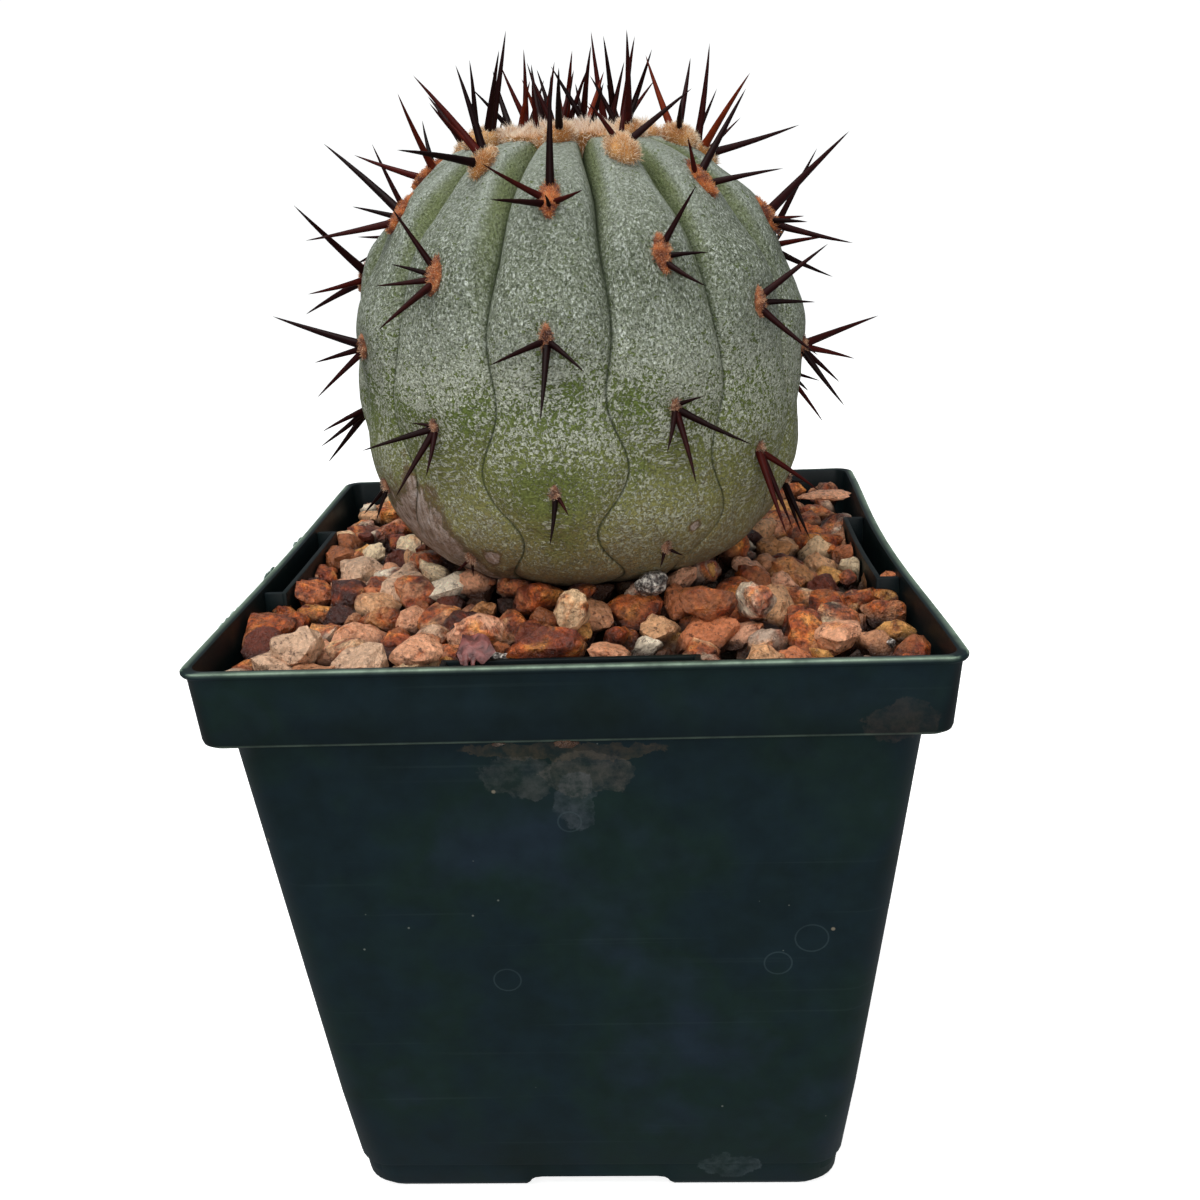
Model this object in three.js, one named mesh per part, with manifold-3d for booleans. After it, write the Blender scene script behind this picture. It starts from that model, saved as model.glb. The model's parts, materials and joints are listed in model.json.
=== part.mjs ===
// A round, thirteen-ribbed desert cactus in a square black-green nursery pot, top-dressed with crushed granite.
// Units are millimetres, +Z is up, and the origin is the middle of the pot's foot, on the ground.
// The front, which faces -Y, is the side with the plainest view of a single rib.

import * as THREE from 'three';
import { mergeVertices } from 'three/addons/utils/BufferGeometryUtils.js';
import Module from 'manifold-3d';

const wasm = await Module();
wasm.setup();

// ---------------------------------------------------------------- driving dimensions

const gap = 0.3; // air between pieces that rest on each other

// Pot: a tapered square cup with a stepped-out rim band.
const rimWidth = 108;
const potHeight = 101.6;
const wall = 0.9;
const footHalf = 39.8;
const footHeight = 5.6;
const seamHalf = 41.5;
const neckHalf = 48.8;
const bandHeight = 12;
const bandFootHalf = 52.8;
const bandTopHalf = 53.4;
const lipHeight = 0.8;
const lipWidth = 1.5;
const floorUnderside = 2.6;
const floorTop = 3.6;
const cornerRadius = 6;
const rimCornerRadius = 3.2;
const rightSideBow = 1.8;
const otherSideBow = 0.6;
const sagStart = 56; // the height where the sides begin to bow
const sagMiddle = 74;

// Label pockets: an inner tab across the middle third of each side, webbed to the rim band.
const tabHalfLength = 18;
const tabOuter = 49.5;
const tabDrop = 0.7;

// Foot notches and drain holes.
const notchTopHalf = 9.7;
const notchFootHalf = 12.7;
const notchHeight = 2.5;
const drainRadius = 4.5;
const drainPlace = 26;

// Soil and top dressing.
const soilDepth = 14; // below the rim
const bedEdgeDrop = 5; // the packed bed below the rim, at the pot's wall
const bedMiddleDrop = 3.6;
const stoneSpacing = 7.3;
const stoneRise = [2.2, 4.6]; // how far a stone's top stands above the bed

// Cactus body: a profile of revolution, then ribs, grooves and tubercles.
const ribCount = 13;
const plantX = 0.6; // the plant stands a little to the right of the pot's middle
const crestRadius = 36.2;
const equatorHeight = potHeight + 37.5;
const crownRise = 33.4;
const crownPower = 1.93;
const crownDip = 3.8; // the woolly middle of the crown is sunken
const crownDipReach = 21;
const baseDrop = 39;
const basePower = 3.4;
const neckRadius = 14;
const firstRibBearing = -94.2; // degrees, anticlockwise from +X seen from above

// Each rib's own quirk: how far its areoles sit below the regular spiral, in areole spacings,
// and how far the rib leans off its even bearing, in degrees.
const ribQuirks = [
  [0, 0], [0.1, 0.8], [0.11, -0.7], [0.14, 0.5], [0.05, -0.8], [-0.05, 0.6], [0.04, -0.5],
  [-0.03, 0.7], [0.06, -0.4], [-0.08, 0.5], [-0.16, -0.6], [-0.1, -3.2], [-0.02, -1.8],
];
const firstAreolePhase = 0.67;
const spiralStep = 5 / 13; // each rib to the right starts its areoles this much of a spacing lower
const wideSpacing = 23.3; // between areoles, measured down a rib, low on the body
const spacingGrowth = 2.29; // how many areoles it takes for the spacing to open out

const woolReach = 24; // areoles nearer to the crown's centre than this grow out of one cap of wool
const woolThickness = 2.6;

// ---------------------------------------------------------------- small tools

function seededRandom(seed) {
  let state = seed;
  return () => {
    state = (state * 16807) % 2147483647;
    return state / 2147483647;
  };
}

function between(random, low, high) {
  return low + (high - low) * random();
}

function smoothstep(low, high, value) {
  const t = THREE.MathUtils.clamp((value - low) / (high - low), 0, 1);
  return t * t * (3 - 2 * t);
}

// A closed skin through a stack of loops. Each loop runs anticlockwise seen from above, and the ends are
// closed by a fan to the middle of the first and the last loop.
function loft(loops) {
  const count = loops[0].length;
  const positions = [];
  const indices = [];
  for (const loop of loops) {
    for (const point of loop) {
      positions.push(point.x, point.y, point.z);
    }
  }
  for (let k = 0; k + 1 < loops.length; k++) {
    for (let i = 0; i < count; i++) {
      const a = k * count + i;
      const b = k * count + ((i + 1) % count);
      indices.push(a, b, b + count, a, b + count, a + count);
    }
  }
  const last = (loops.length - 1) * count;
  for (const [start, outward] of [[0, false], [last, true]]) {
    const middle = new THREE.Vector3();
    for (let i = 0; i < count; i++) {
      middle.add(new THREE.Vector3().fromArray(positions, 3 * (start + i)));
    }
    middle.divideScalar(count);
    const hub = positions.length / 3;
    positions.push(middle.x, middle.y, middle.z);
    for (let i = 0; i < count; i++) {
      const a = start + i;
      const b = start + ((i + 1) % count);
      indices.push(...(outward ? [hub, a, b] : [hub, b, a]));
    }
  }
  const geometry = new THREE.BufferGeometry();
  geometry.setAttribute('position', new THREE.Float32BufferAttribute(positions, 3));
  geometry.setIndex(indices);
  return geometry;
}

function toSolid(geometry) {
  const bare = geometry.clone();
  bare.deleteAttribute('normal');
  bare.deleteAttribute('uv');
  const merged = mergeVertices(bare, 1e-4);
  return new wasm.Manifold(new wasm.Mesh({
    numProp: 3,
    vertProperties: new Float32Array(merged.attributes.position.array),
    triVerts: new Uint32Array(merged.index.array),
  }));
}

// The largest body of a solid, without loose scraps and with any sealed hollow filled.
function mainBody(solid) {
  const shells = solid.decompose();
  shells.sort((a, b) => b.volume() - a.volume());
  return shells[0];
}

function toMesh(name, solid, look) {
  const raw = solid.getMesh();
  const geometry = new THREE.BufferGeometry();
  geometry.setAttribute('position', new THREE.BufferAttribute(new Float32Array(raw.vertProperties), 3));
  geometry.setIndex(new THREE.BufferAttribute(new Uint32Array(raw.triVerts), 1));
  geometry.computeVertexNormals();
  const mesh = new THREE.Mesh(geometry, new THREE.MeshStandardMaterial(look));
  mesh.name = name;
  return mesh;
}

function joinAll(solids) {
  let queue = [...solids];
  while (queue.length > 1) {
    const joined = [];
    for (let i = 0; i < queue.length; i += 2) {
      joined.push(i + 1 < queue.length ? queue[i].add(queue[i + 1]) : queue[i]);
    }
    queue = joined;
  }
  return queue[0];
}

// ---------------------------------------------------------------- pot

const sideSteps = 4;
const cornerSteps = 3;

// The thin sides have sagged inwards near the rim, most on the right.
function sagSides(point) {
  const high = smoothstep(sagStart, potHeight, point.z);
  const nearSide = (value) => smoothstep(0.62, 0.92, value / (rimWidth / 2));
  const middle = (value) => (1 - (value / (rimWidth / 2)) ** 2) ** 2;
  const rightPull = rightSideBow * nearSide(point.x) * middle(point.y);
  const leftPull = otherSideBow * nearSide(-point.x) * middle(point.y);
  const backPull = otherSideBow * nearSide(point.y) * middle(point.x);
  return new THREE.Vector3(point.x + high * (leftPull - rightPull), point.y - high * backPull, point.z);
}

// Bends every corner of a finished shape with the sides of the pot.
function sagShape(geometry) {
  const place = geometry.attributes.position;
  for (let i = 0; i < place.count; i++) {
    const point = sagSides(new THREE.Vector3().fromBufferAttribute(place, i));
    place.setXYZ(i, point.x, point.y, point.z);
  }
  return geometry;
}

// A square with round corners at a height of the pot, with extra points along its sides so that they can bow.
function roundedSquare(half, radius, z) {
  const points = [];
  for (let side = 0; side < 4; side++) {
    const turn = (side * Math.PI) / 2;
    for (let k = 0; k < sideSteps; k++) {
      const along = (half - radius) * ((2 * k) / sideSteps - 1);
      const x = half * Math.cos(turn) - along * Math.sin(turn);
      const y = half * Math.sin(turn) + along * Math.cos(turn);
      points.push(new THREE.Vector3(x, y, z));
    }
    for (let k = 0; k < cornerSteps; k++) {
      const angle = turn + (k * Math.PI) / 2 / cornerSteps;
      const corner = half - radius;
      const cx = corner * (Math.cos(turn) - Math.sin(turn));
      const cy = corner * (Math.sin(turn) + Math.cos(turn));
      points.push(new THREE.Vector3(cx + radius * Math.cos(angle), cy + radius * Math.sin(angle), z));
    }
  }
  return points.map(sagSides);
}

const shelfHeight = potHeight - bandHeight;
const innerFloorHalf = seamHalf - wall - 0.2;

// Half the width inside the tapered cup at a height.
function insideHalf(z) {
  return THREE.MathUtils.mapLinear(z, floorTop, shelfHeight, innerFloorHalf, neckHalf - wall);
}

// One side's label pocket as a U in plan: two webs out to the band, joined by the tab.
function pocketWalls(quarter) {
  const outer = tabOuter;
  const inner = tabOuter - wall;
  const reach = bandTopHalf - 0.4;
  const half = tabHalfLength;
  const plan = [
    [inner, -half], [reach, -half], [reach, -half + wall], [outer, -half + wall],
    [outer, half - wall], [reach, half - wall], [reach, half], [inner, half],
  ];
  const outline = new THREE.Shape(plan.map(([x, y]) => new THREE.Vector2(x, y)));
  const depth = bandHeight - tabDrop - 0.1;
  const walls = new THREE.ExtrudeGeometry(outline, { depth, bevelEnabled: false });
  walls.translate(0, 0, shelfHeight + 0.1);
  walls.rotateZ((quarter * Math.PI) / 2);
  return toSolid(sagShape(walls));
}

function footNotch(quarter) {
  const outline = new THREE.Shape([
    new THREE.Vector2(-notchFootHalf - 1, -1),
    new THREE.Vector2(notchFootHalf + 1, -1),
    new THREE.Vector2(notchFootHalf, 0),
    new THREE.Vector2(notchTopHalf, notchHeight),
    new THREE.Vector2(-notchTopHalf, notchHeight),
    new THREE.Vector2(-notchFootHalf, 0),
  ]);
  const notch = new THREE.ExtrudeGeometry(outline, { depth: 8, bevelEnabled: false });
  notch.rotateX(Math.PI / 2);
  notch.translate(0, -footHalf + 4, 0);
  notch.rotateZ((quarter * Math.PI) / 2);
  return toSolid(notch);
}

function drainHole(x, y) {
  const hole = new THREE.CylinderGeometry(drainRadius, drainRadius, 6, 14);
  hole.rotateX(Math.PI / 2);
  hole.translate(x, y, floorTop - 1);
  return toSolid(hole);
}

function makePot() {
  const lipHalf = rimWidth / 2;
  const bandInside = bandFootHalf - wall;
  const shell = [
    [footHalf - 2.2, cornerRadius - 1.5, floorUnderside],
    [footHalf - 1.4, cornerRadius - 1, 0],
    [footHalf, cornerRadius, 0],
    [footHalf + 0.8, cornerRadius, 1],
    [seamHalf - 0.5, cornerRadius, footHeight],
    [seamHalf, cornerRadius, footHeight + 0.3],
    [insideHalf(sagStart) + wall, cornerRadius, sagStart],
    [insideHalf(sagMiddle) + wall, cornerRadius, sagMiddle],
    [neckHalf, cornerRadius, shelfHeight],
    [bandFootHalf - 0.8, rimCornerRadius, shelfHeight],
    [bandFootHalf, rimCornerRadius, shelfHeight + 0.9],
    [bandTopHalf, rimCornerRadius, potHeight - lipHeight - 0.4],
    [lipHalf, rimCornerRadius, potHeight - lipHeight],
    [lipHalf, rimCornerRadius, potHeight],
    [lipHalf - lipWidth, rimCornerRadius - 1, potHeight],
    [bandInside, rimCornerRadius - 0.8, shelfHeight + wall + 0.4],
    [bandInside - 0.5, rimCornerRadius - 0.8, shelfHeight + wall],
    [insideHalf(shelfHeight + wall), cornerRadius - wall, shelfHeight + wall],
    [insideHalf(sagMiddle), cornerRadius - wall, sagMiddle],
    [insideHalf(sagStart), cornerRadius - wall, sagStart],
    [innerFloorHalf, cornerRadius - wall, floorTop],
  ].map(([half, radius, z]) => roundedSquare(half, radius, z));
  let pot = toSolid(loft(shell));
  for (let quarter = 0; quarter < 4; quarter++) {
    pot = pot.add(pocketWalls(quarter));
    pot = pot.subtract(footNotch(quarter));
  }
  for (const x of [-drainPlace, drainPlace]) {
    for (const y of [-drainPlace, drainPlace]) {
      pot = pot.subtract(drainHole(x, y));
    }
  }
  return mainBody(pot);
}

// ---------------------------------------------------------------- cactus body

// The rib crest's outline from the crown's centre down to the neck, as points with their running length.
// The length is measured as if the crown were domed, not sunken.
function traceProfile() {
  const trace = [];
  const steps = 600;
  let length = 0;
  let last = new THREE.Vector2(0, equatorHeight + crownRise);
  for (let k = 0; k <= steps; k++) {
    const angle = Math.PI / 2 - (k * Math.PI) / steps;
    const across = Math.max(Math.cos(angle), 0);
    const up = Math.sin(angle);
    const power = 2 / (up >= 0 ? crownPower : basePower);
    const rise = up >= 0 ? crownRise : -baseDrop;
    const domed = new THREE.Vector2(crestRadius * across ** power, equatorHeight + rise * Math.abs(up) ** power);
    const dip = crownDip * (1 - smoothstep(0, crownDipReach, domed.x)) * (up >= 0 ? 1 : 0);
    const point = new THREE.Vector2(domed.x, domed.y - dip);
    length += domed.distanceTo(last);
    last = domed;
    trace.push({ point, length });
    if (up < -0.5 && point.x < neckRadius) {
      break;
    }
  }
  return trace;
}

const profile = traceProfile();
const bodyLength = profile[profile.length - 1].length;

// The crest's place and its outward slope at a length down from the crown.
function profileAt(length) {
  let low = 0;
  let high = profile.length - 1;
  while (high - low > 1) {
    const middle = (low + high) >> 1;
    if (profile[middle].length <= length) {
      low = middle;
    } else {
      high = middle;
    }
  }
  const a = profile[low];
  const b = profile[high];
  const t = (length - a.length) / (b.length - a.length);
  const point = a.point.clone().lerp(b.point, t);
  const slope = b.point.clone().sub(a.point).normalize();
  return { radius: point.x, height: point.y, outR: -slope.y, outZ: slope.x };
}

// Areoles are numbered down a rib by phase. The spacing opens from nothing at the crown to its full width.
function lengthAtPhase(phase) {
  return wideSpacing * spacingGrowth * Math.log(Math.cosh(phase / spacingGrowth));
}

function phaseAtLength(length) {
  return spacingGrowth * Math.acosh(Math.exp(length / (wideSpacing * spacingGrowth)));
}

const ribs = ribQuirks.map(([lag, lean], index) => {
  const phase = (firstAreolePhase + index * spiralStep + lag + 4) % 1;
  const bearing = THREE.MathUtils.degToRad(firstRibBearing + (index * 360) / ribCount + lean);
  return { index, phase, bearing };
});

// How far a rib is swollen by its tubercles, from 0 to 1. A tubercle peaks just above its areole.
function swelling(rib, length) {
  return 0.5 + 0.5 * Math.cos(2 * Math.PI * (phaseAtLength(length) - rib.phase + 0.15));
}

function grooveDepth(length, radius) {
  const depth = 0.5 + 3.7 * (1 - smoothstep(22, 68, length));
  return Math.min(depth, 0.3 * radius);
}

// The bearing of a place on a rib. Across is -1 and 1 in the grooves to its left and right, and 0 on its crest.
// A groove gives way to the wider of its two ribs, so it wanders, and more so low on the body.
function bearingOn(rib, across, length) {
  const step = across < 0 ? ribCount - 1 : 1;
  const other = ribs[(rib.index + step) % ribCount];
  let span = other.bearing - rib.bearing;
  span = Math.atan2(Math.sin(span), Math.cos(span));
  const wander = 0.03 + 0.3 * smoothstep(45, 85, length);
  const share = 0.5 + 0.5 * wander * (swelling(rib, length) - swelling(other, length));
  return rib.bearing + Math.abs(across) * share * span;
}

// A point of the skin. Raise moves it off the skin, and filled leaves the groove out.
function skinPoint(rib, across, length, raise = 0, filled = false) {
  const { radius, height, outR, outZ } = profileAt(length);
  const bearing = bearingOn(rib, across, length);
  const tubercle = 1.2 * smoothstep(12, 36, length) * (1 - smoothstep(78, 98, length));
  const crown = 2 + 3 * smoothstep(35, 75, length);
  const groove = filled ? 0 : grooveDepth(length, radius) * Math.abs(across) ** crown;
  const fade = 1 - Math.abs(across) ** 2;
  const out = tubercle * (swelling(rib, length) - 0.5) * fade - groove + raise;
  return new THREE.Vector3(
    plantX + (radius + outR * out) * Math.cos(bearing),
    (radius + outR * out) * Math.sin(bearing),
    height + outZ * out,
  );
}

const acrossSteps = [-1, -0.7, -0.34, 0, 0.34, 0.7];
const skinRows = 23;

const tapRoot = [[1, -46], [6, -26], [12.5, -5]]; // radius, and height from the rim

// The whole body, from the tip of the tap root to the crown.
function bodyLoops() {
  const loops = [];
  for (const [radius, drop] of tapRoot) {
    loops.push(ribs.flatMap((rib) => acrossSteps.map((across) => {
      const bearing = bearingOn(rib, across, bodyLength);
      const x = plantX + radius * Math.cos(bearing);
      return new THREE.Vector3(x, radius * Math.sin(bearing), potHeight + drop);
    })));
  }
  for (let row = skinRows; row > 0; row--) {
    const length = bodyLength * (row / skinRows) ** 1.05;
    loops.push(ribs.flatMap((rib) => acrossSteps.map((across) => skinPoint(rib, across, length))));
  }
  return loops;
}

// The plain round hole that the root and the foot of the body stand in.
function plantHole() {
  const clear = gap + 0.25;
  const outline = [new THREE.Vector2(0, potHeight + tapRoot[0][1] - 1)];
  for (const [radius, drop] of tapRoot) {
    outline.push(new THREE.Vector2(radius + clear, potHeight + drop - clear));
  }
  for (let length = bodyLength; length > bodyLength - 50; length -= 6) {
    const { radius, height, outR, outZ } = profileAt(length);
    outline.push(new THREE.Vector2(radius + clear * outR, height + clear * outZ));
  }
  outline.push(new THREE.Vector2(0, outline[outline.length - 1].y));
  const hole = new THREE.LatheGeometry(outline, 3 * ribCount);
  hole.rotateX(Math.PI / 2);
  hole.translate(plantX, 0, 0);
  return toSolid(hole);
}

// ---------------------------------------------------------------- spines

// Directions at an areole: out of the skin, up along the rib, and to the right as seen from outside.
function areoleAxes(rib, length) {
  const { outR, outZ } = profileAt(length);
  const outward = new THREE.Vector3(Math.cos(rib.bearing), Math.sin(rib.bearing), 0);
  const out = outward.clone().multiplyScalar(outR).add(new THREE.Vector3(0, 0, outZ));
  const up = outward.clone().multiplyScalar(-outZ).add(new THREE.Vector3(0, 0, outR));
  const right = new THREE.Vector3(-Math.sin(rib.bearing), Math.cos(rib.bearing), 0);
  return { out, up, right };
}

// The spines that stand plain in the front view, on the sides and then on the crown, each as
// [clock, lift, length]: degrees clockwise from straight up the rib, degrees off the skin, and millimetres.
// Keys are rib and areole, numbered downwards.
const frontSpines = {
  '0:2': [[4, 42, 14.5], [-88, 42, 10], [-132, 42, 10.5], [117, 42, 7], [175, 72, 4]],
  '0:3': [[-115, 42, 9.3], [126, 42, 9], [179, 42, 12.8]],
  '0:4': [[-174, 40, 7], [136, 42, 3.5]],
  '1:2': [[-65, 44, 6.5], [22, 46, 5.8], [89, 42, 11.3]],
  '1:3': [[35, 43, 9], [111, 42, 6], [162, 42, 8.8]],
  '1:4': [[62, 42, 4], [120, 42, 11.6], [-175, 42, 11.5], [-140, 42, 7.8]],
  '1:5': [[-150, 40, 2.6], [100, 40, 2.4]],
  '2:2': [[54, 42, 14.5], [136, 44, 10.8], [-60, 48, 6.5]],
  '2:3': [[54, 42, 12], [105, 42, 7.8], [172, 42, 11]],
  '2:4': [[-150, 42, 14], [134, 42, 10.8], [-166, 42, 12.5]],
  '3:2': [[79, 46, 22.5], [124, 42, 6], [-130, 42, 7], [184, 41, 12.5]],
  '3:3': [[77, 42, 17], [111, 42, 11.7], [153, 42, 8.5], [-166, 38, 11]],
  '12:2': [[-32, 50, 12.2], [-72, 46, 7], [-66, 46, 14.4], [-168, 43, 13.5]],
  '12:3': [[-31, 42, 9.8], [-87, 42, 5.6], [-118, 42, 7.6], [-178, 42, 12]],
  '12:4': [[-107, 42, 10.6], [-70, 42, 2.8], [-168, 42, 11], [157, 42, 7.5]],
  '12:5': [[-115, 40, 3], [180, 40, 2.4]],
  '11:2': [[-76, 44, 17.6], [-111, 42, 7.5], [-165, 41, 13.3]],
  '11:3': [[-72, 42, 16.3], [-112, 42, 9], [-156, 42, 10.2]],
  '11:4': [[-140, 42, 6.2], [170, 40, 5]],
  '10:3': [[54, 42, 16.8], [122, 42, 10], [-146, 38, 14]],
  '10:4': [[105, 42, 9.4], [122, 42, 10.5], [-148, 40, 14.5]],
  '0:1': [[169, 47, 12], [-60, 62, 9]],
  '1:1': [[44, 46, 12], [170, 55, 7]],
  '2:1': [[-127, 65, 14.2], [-40, 60, 8]],
  '3:1': [[22, 47, 12], [70, 55, 12.7], [-87, 40, 7]],
  '4:1': [[-67, 64, 14.2], [150, 60, 8]],
  '4:2': [[-17, 60, 14.3], [-77, 59, 13.2], [-159, 48, 14.2], [156, 42, 12]],
  '5:1': [[-63, 64, 14.2], [-82, 58, 13], [100, 60, 8]],
  '5:2': [[-40, 58, 13.8], [-80, 56, 12.5], [120, 50, 10]],
  '6:1': [[-39, 62, 13.6], [150, 50, 9]],
  '7:1': [[-5, 59, 13.2], [180, 60, 8]],
  '9:2': [[-142, 62, 13], [20, 60, 12], [90, 50, 9]],
  '10:1': [[-112, 50, 12.1], [60, 60, 8]],
  '10:2': [[59, 57, 12.9], [-148, 52, 12.6], [-60, 50, 9]],
  '11:1': [[37, 66, 14.4], [70, 57, 12.9], [110, 45, 7]],
  '12:1': [[-48, 52, 12.5], [150, 60, 7]],
};

// Elsewhere each areole follows the same habit: one strong spine up, a pair to the sides and one down,
// upright on the crown, and shorter and pressed downwards towards the foot of the plant.
function habitSpines(phase, random) {
  const side = random() < 0.5 ? -1 : 1;
  const turn = () => between(random, -14, 14);
  if (phase < 1.3) {
    return [
      [between(random, -60, 60), between(random, 60, 74), between(random, 8, 12)],
      [180 + turn(), between(random, 60, 74), between(random, 8, 11)],
    ];
  }
  if (phase < 2.3) {
    return [
      [between(random, -30, 30), between(random, 58, 72), between(random, 12, 16)],
      [side * between(random, 70, 110), between(random, 50, 62), between(random, 9, 12)],
      [-side * between(random, 70, 110), between(random, 50, 62), between(random, 8, 11)],
    ];
  }
  if (phase < 4) {
    return [
      [side * 35 + turn(), between(random, 40, 50), between(random, 12, 17)],
      [side * 112 + turn(), between(random, 38, 45), between(random, 7, 10)],
      [-side * 95 + turn(), between(random, 38, 45), between(random, 7, 10)],
      [180 + turn(), between(random, 38, 44), between(random, 10, 13)],
    ];
  }
  if (phase < 5) {
    return [
      [side * 125 + turn(), between(random, 38, 44), between(random, 9, 11.5)],
      [-side * 100 + turn(), between(random, 38, 44), between(random, 4, 8)],
      [180 + turn(), between(random, 38, 44), between(random, 8, 12)],
    ];
  }
  return [
    [side * 140 + turn(), 40, between(random, 3, 4.5)],
    [180 + turn(), 40, between(random, 2.5, 4)],
  ];
}

// Felt pads shrink as they age: half width and half height.
function padSize(phase) {
  const age = smoothstep(2.6, 4.4, phase);
  return [THREE.MathUtils.lerp(1.9, 0.9, age), THREE.MathUtils.lerp(3.6, 1.4, age)];
}

function listAreoles() {
  const random = seededRandom(20611);
  const areoles = [];
  for (const rib of ribs) {
    for (let number = 0; number < 6; number++) {
      const phase = rib.phase + number;
      const length = lengthAtPhase(phase);
      if (phase < 0.75 || length > bodyLength - 16) {
        continue;
      }
      const drawn = habitSpines(phase, random);
      const spines = frontSpines[`${rib.index}:${number}`] ?? drawn;
      areoles.push({ rib, number, phase, length, spines, woolly: length < woolReach });
    }
  }
  return areoles;
}

// A three-sided needle.
function needle(foot, tip, radius) {
  const along = tip.clone().sub(foot).normalize();
  const sideways = new THREE.Vector3(0, 0, 1).cross(along);
  if (sideways.length() < 0.1) {
    sideways.set(1, 0, 0);
  }
  sideways.normalize();
  const upward = along.clone().cross(sideways);
  const positions = [];
  for (let k = 0; k < 3; k++) {
    const angle = Math.PI / 2 + (k * 2 * Math.PI) / 3;
    const corner = foot.clone();
    corner.addScaledVector(sideways, radius * Math.cos(angle));
    corner.addScaledVector(upward, radius * Math.sin(angle));
    positions.push(corner.x, corner.y, corner.z);
  }
  positions.push(tip.x, tip.y, tip.z);
  const geometry = new THREE.BufferGeometry();
  geometry.setAttribute('position', new THREE.Float32BufferAttribute(positions, 3));
  geometry.setIndex([0, 2, 1, 0, 1, 3, 1, 2, 3, 2, 0, 3]);
  return geometry;
}

function spineRadius(length) {
  return 0.4 + 0.028 * length;
}

// Where a spine leaves its areole and where it ends. It stops short of passing over the rim's edge.
function spineEnds(areole, [clock, lift, reach]) {
  const { out, up, right } = areoleAxes(areole.rib, areole.length);
  const angle = THREE.MathUtils.degToRad(clock);
  const rise = THREE.MathUtils.degToRad(lift);
  const level = up.clone().multiplyScalar(Math.cos(angle)).addScaledVector(right, Math.sin(angle));
  const along = level.clone().multiplyScalar(Math.cos(rise)).addScaledVector(out, Math.sin(rise));
  const [halfWidth, halfHeight] = padSize(areole.phase);
  const start = skinPoint(areole.rib, 0, areole.length, areole.woolly ? gap + 1.1 : 0);
  start.addScaledVector(right, 0.5 * halfWidth * Math.sin(angle));
  start.addScaledVector(up, 0.5 * halfHeight * Math.cos(angle));
  const limit = rimWidth / 2 - 0.4;
  let length = reach;
  for (const axis of ['x', 'y']) {
    const room = limit - Math.abs(start[axis]);
    if (along[axis] * start[axis] > 0 && Math.abs(along[axis]) * length > room) {
      length = room / Math.abs(along[axis]);
    }
  }
  const tip = start.clone().addScaledVector(along, length);
  return { start, tip, along, length };
}

function spineSolid(areole, spine, sunk) {
  const { start, tip, along, length } = spineEnds(areole, spine);
  const foot = start.clone().addScaledVector(along, -sunk);
  return toSolid(needle(foot, tip, spineRadius(length)));
}

// A felt pad: a low diamond lying on the crest.
function padSolid(areole) {
  const { out, up, right } = areoleAxes(areole.rib, areole.length);
  const [halfWidth, halfHeight] = padSize(areole.phase);
  const pad = new THREE.OctahedronGeometry(1, 0);
  const place = new THREE.Matrix4().makeBasis(
    right.clone().multiplyScalar(halfWidth),
    up.clone().multiplyScalar(halfHeight),
    out.clone().multiplyScalar(1.1),
  );
  place.setPosition(skinPoint(areole.rib, 0, areole.length));
  pad.applyMatrix4(place);
  return toSolid(pad);
}

const areoles = listAreoles();

function makeCactus() {
  const growths = [];
  for (const areole of areoles) {
    if (areole.woolly) {
      continue;
    }
    growths.push(padSolid(areole));
    for (const spine of areole.spines) {
      growths.push(spineSolid(areole, spine, 1.6));
    }
  }
  return mainBody(toSolid(loft(bodyLoops())).add(joinAll(growths)));
}

// ---------------------------------------------------------------- crown wool

// The cap's edge reaches just past the last woolly areole of each rib, and draws back over the grooves.
function woolEdge(rib, across) {
  const lengths = areoles.filter((areole) => areole.rib === rib && areole.woolly).map((areole) => areole.length);
  const reach = Math.max(...lengths, 10) + 3;
  const lobe = Math.cos((across * Math.PI) / 2) ** 2;
  return 12 + (reach - 12) * lobe;
}

function makeCrownWool() {
  const random = seededRandom(977);
  const columns = [-1, -0.5, 0, 0.5];
  const loops = [];
  const addLoop = (share, lift) => {
    loops.push(ribs.flatMap((rib) => columns.map((across) => {
      const tuft = between(random, -0.25, 0.35) * (lift > gap + 0.2 ? 1 : 0);
      return skinPoint(rib, across, share * woolEdge(rib, across), lift + tuft, true);
    })));
  };
  for (const share of [0.06, 0.3, 0.5, 0.7, 0.86, 1]) {
    addLoop(share, gap + 0.3);
  }
  for (const [share, height] of [[1.03, 0.5], [0.75, 1], [0.06, 1.1]]) {
    addLoop(share, gap + height * woolThickness);
  }
  const spines = [];
  for (const areole of areoles.filter(({ woolly }) => woolly)) {
    for (const spine of areole.spines) {
      spines.push(spineSolid(areole, spine, 0));
    }
  }
  return mainBody(toSolid(loft(loops)).add(joinAll(spines)));
}

// ---------------------------------------------------------------- potting mix and gravel

function makePottingMix() {
  const top = potHeight - soilDepth;
  const bottom = floorTop + gap;
  const loops = [
    roundedSquare(insideHalf(bottom) - gap, cornerRadius - wall, bottom),
    roundedSquare(insideHalf(sagStart) - gap, cornerRadius - wall, sagStart),
    roundedSquare(insideHalf(sagMiddle) - gap, cornerRadius - wall, sagMiddle),
    roundedSquare(insideHalf(top) - gap, cornerRadius - wall, top),
  ];
  const soil = toSolid(loft(loops));
  return mainBody(soil.subtract(plantHole()));
}

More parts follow.
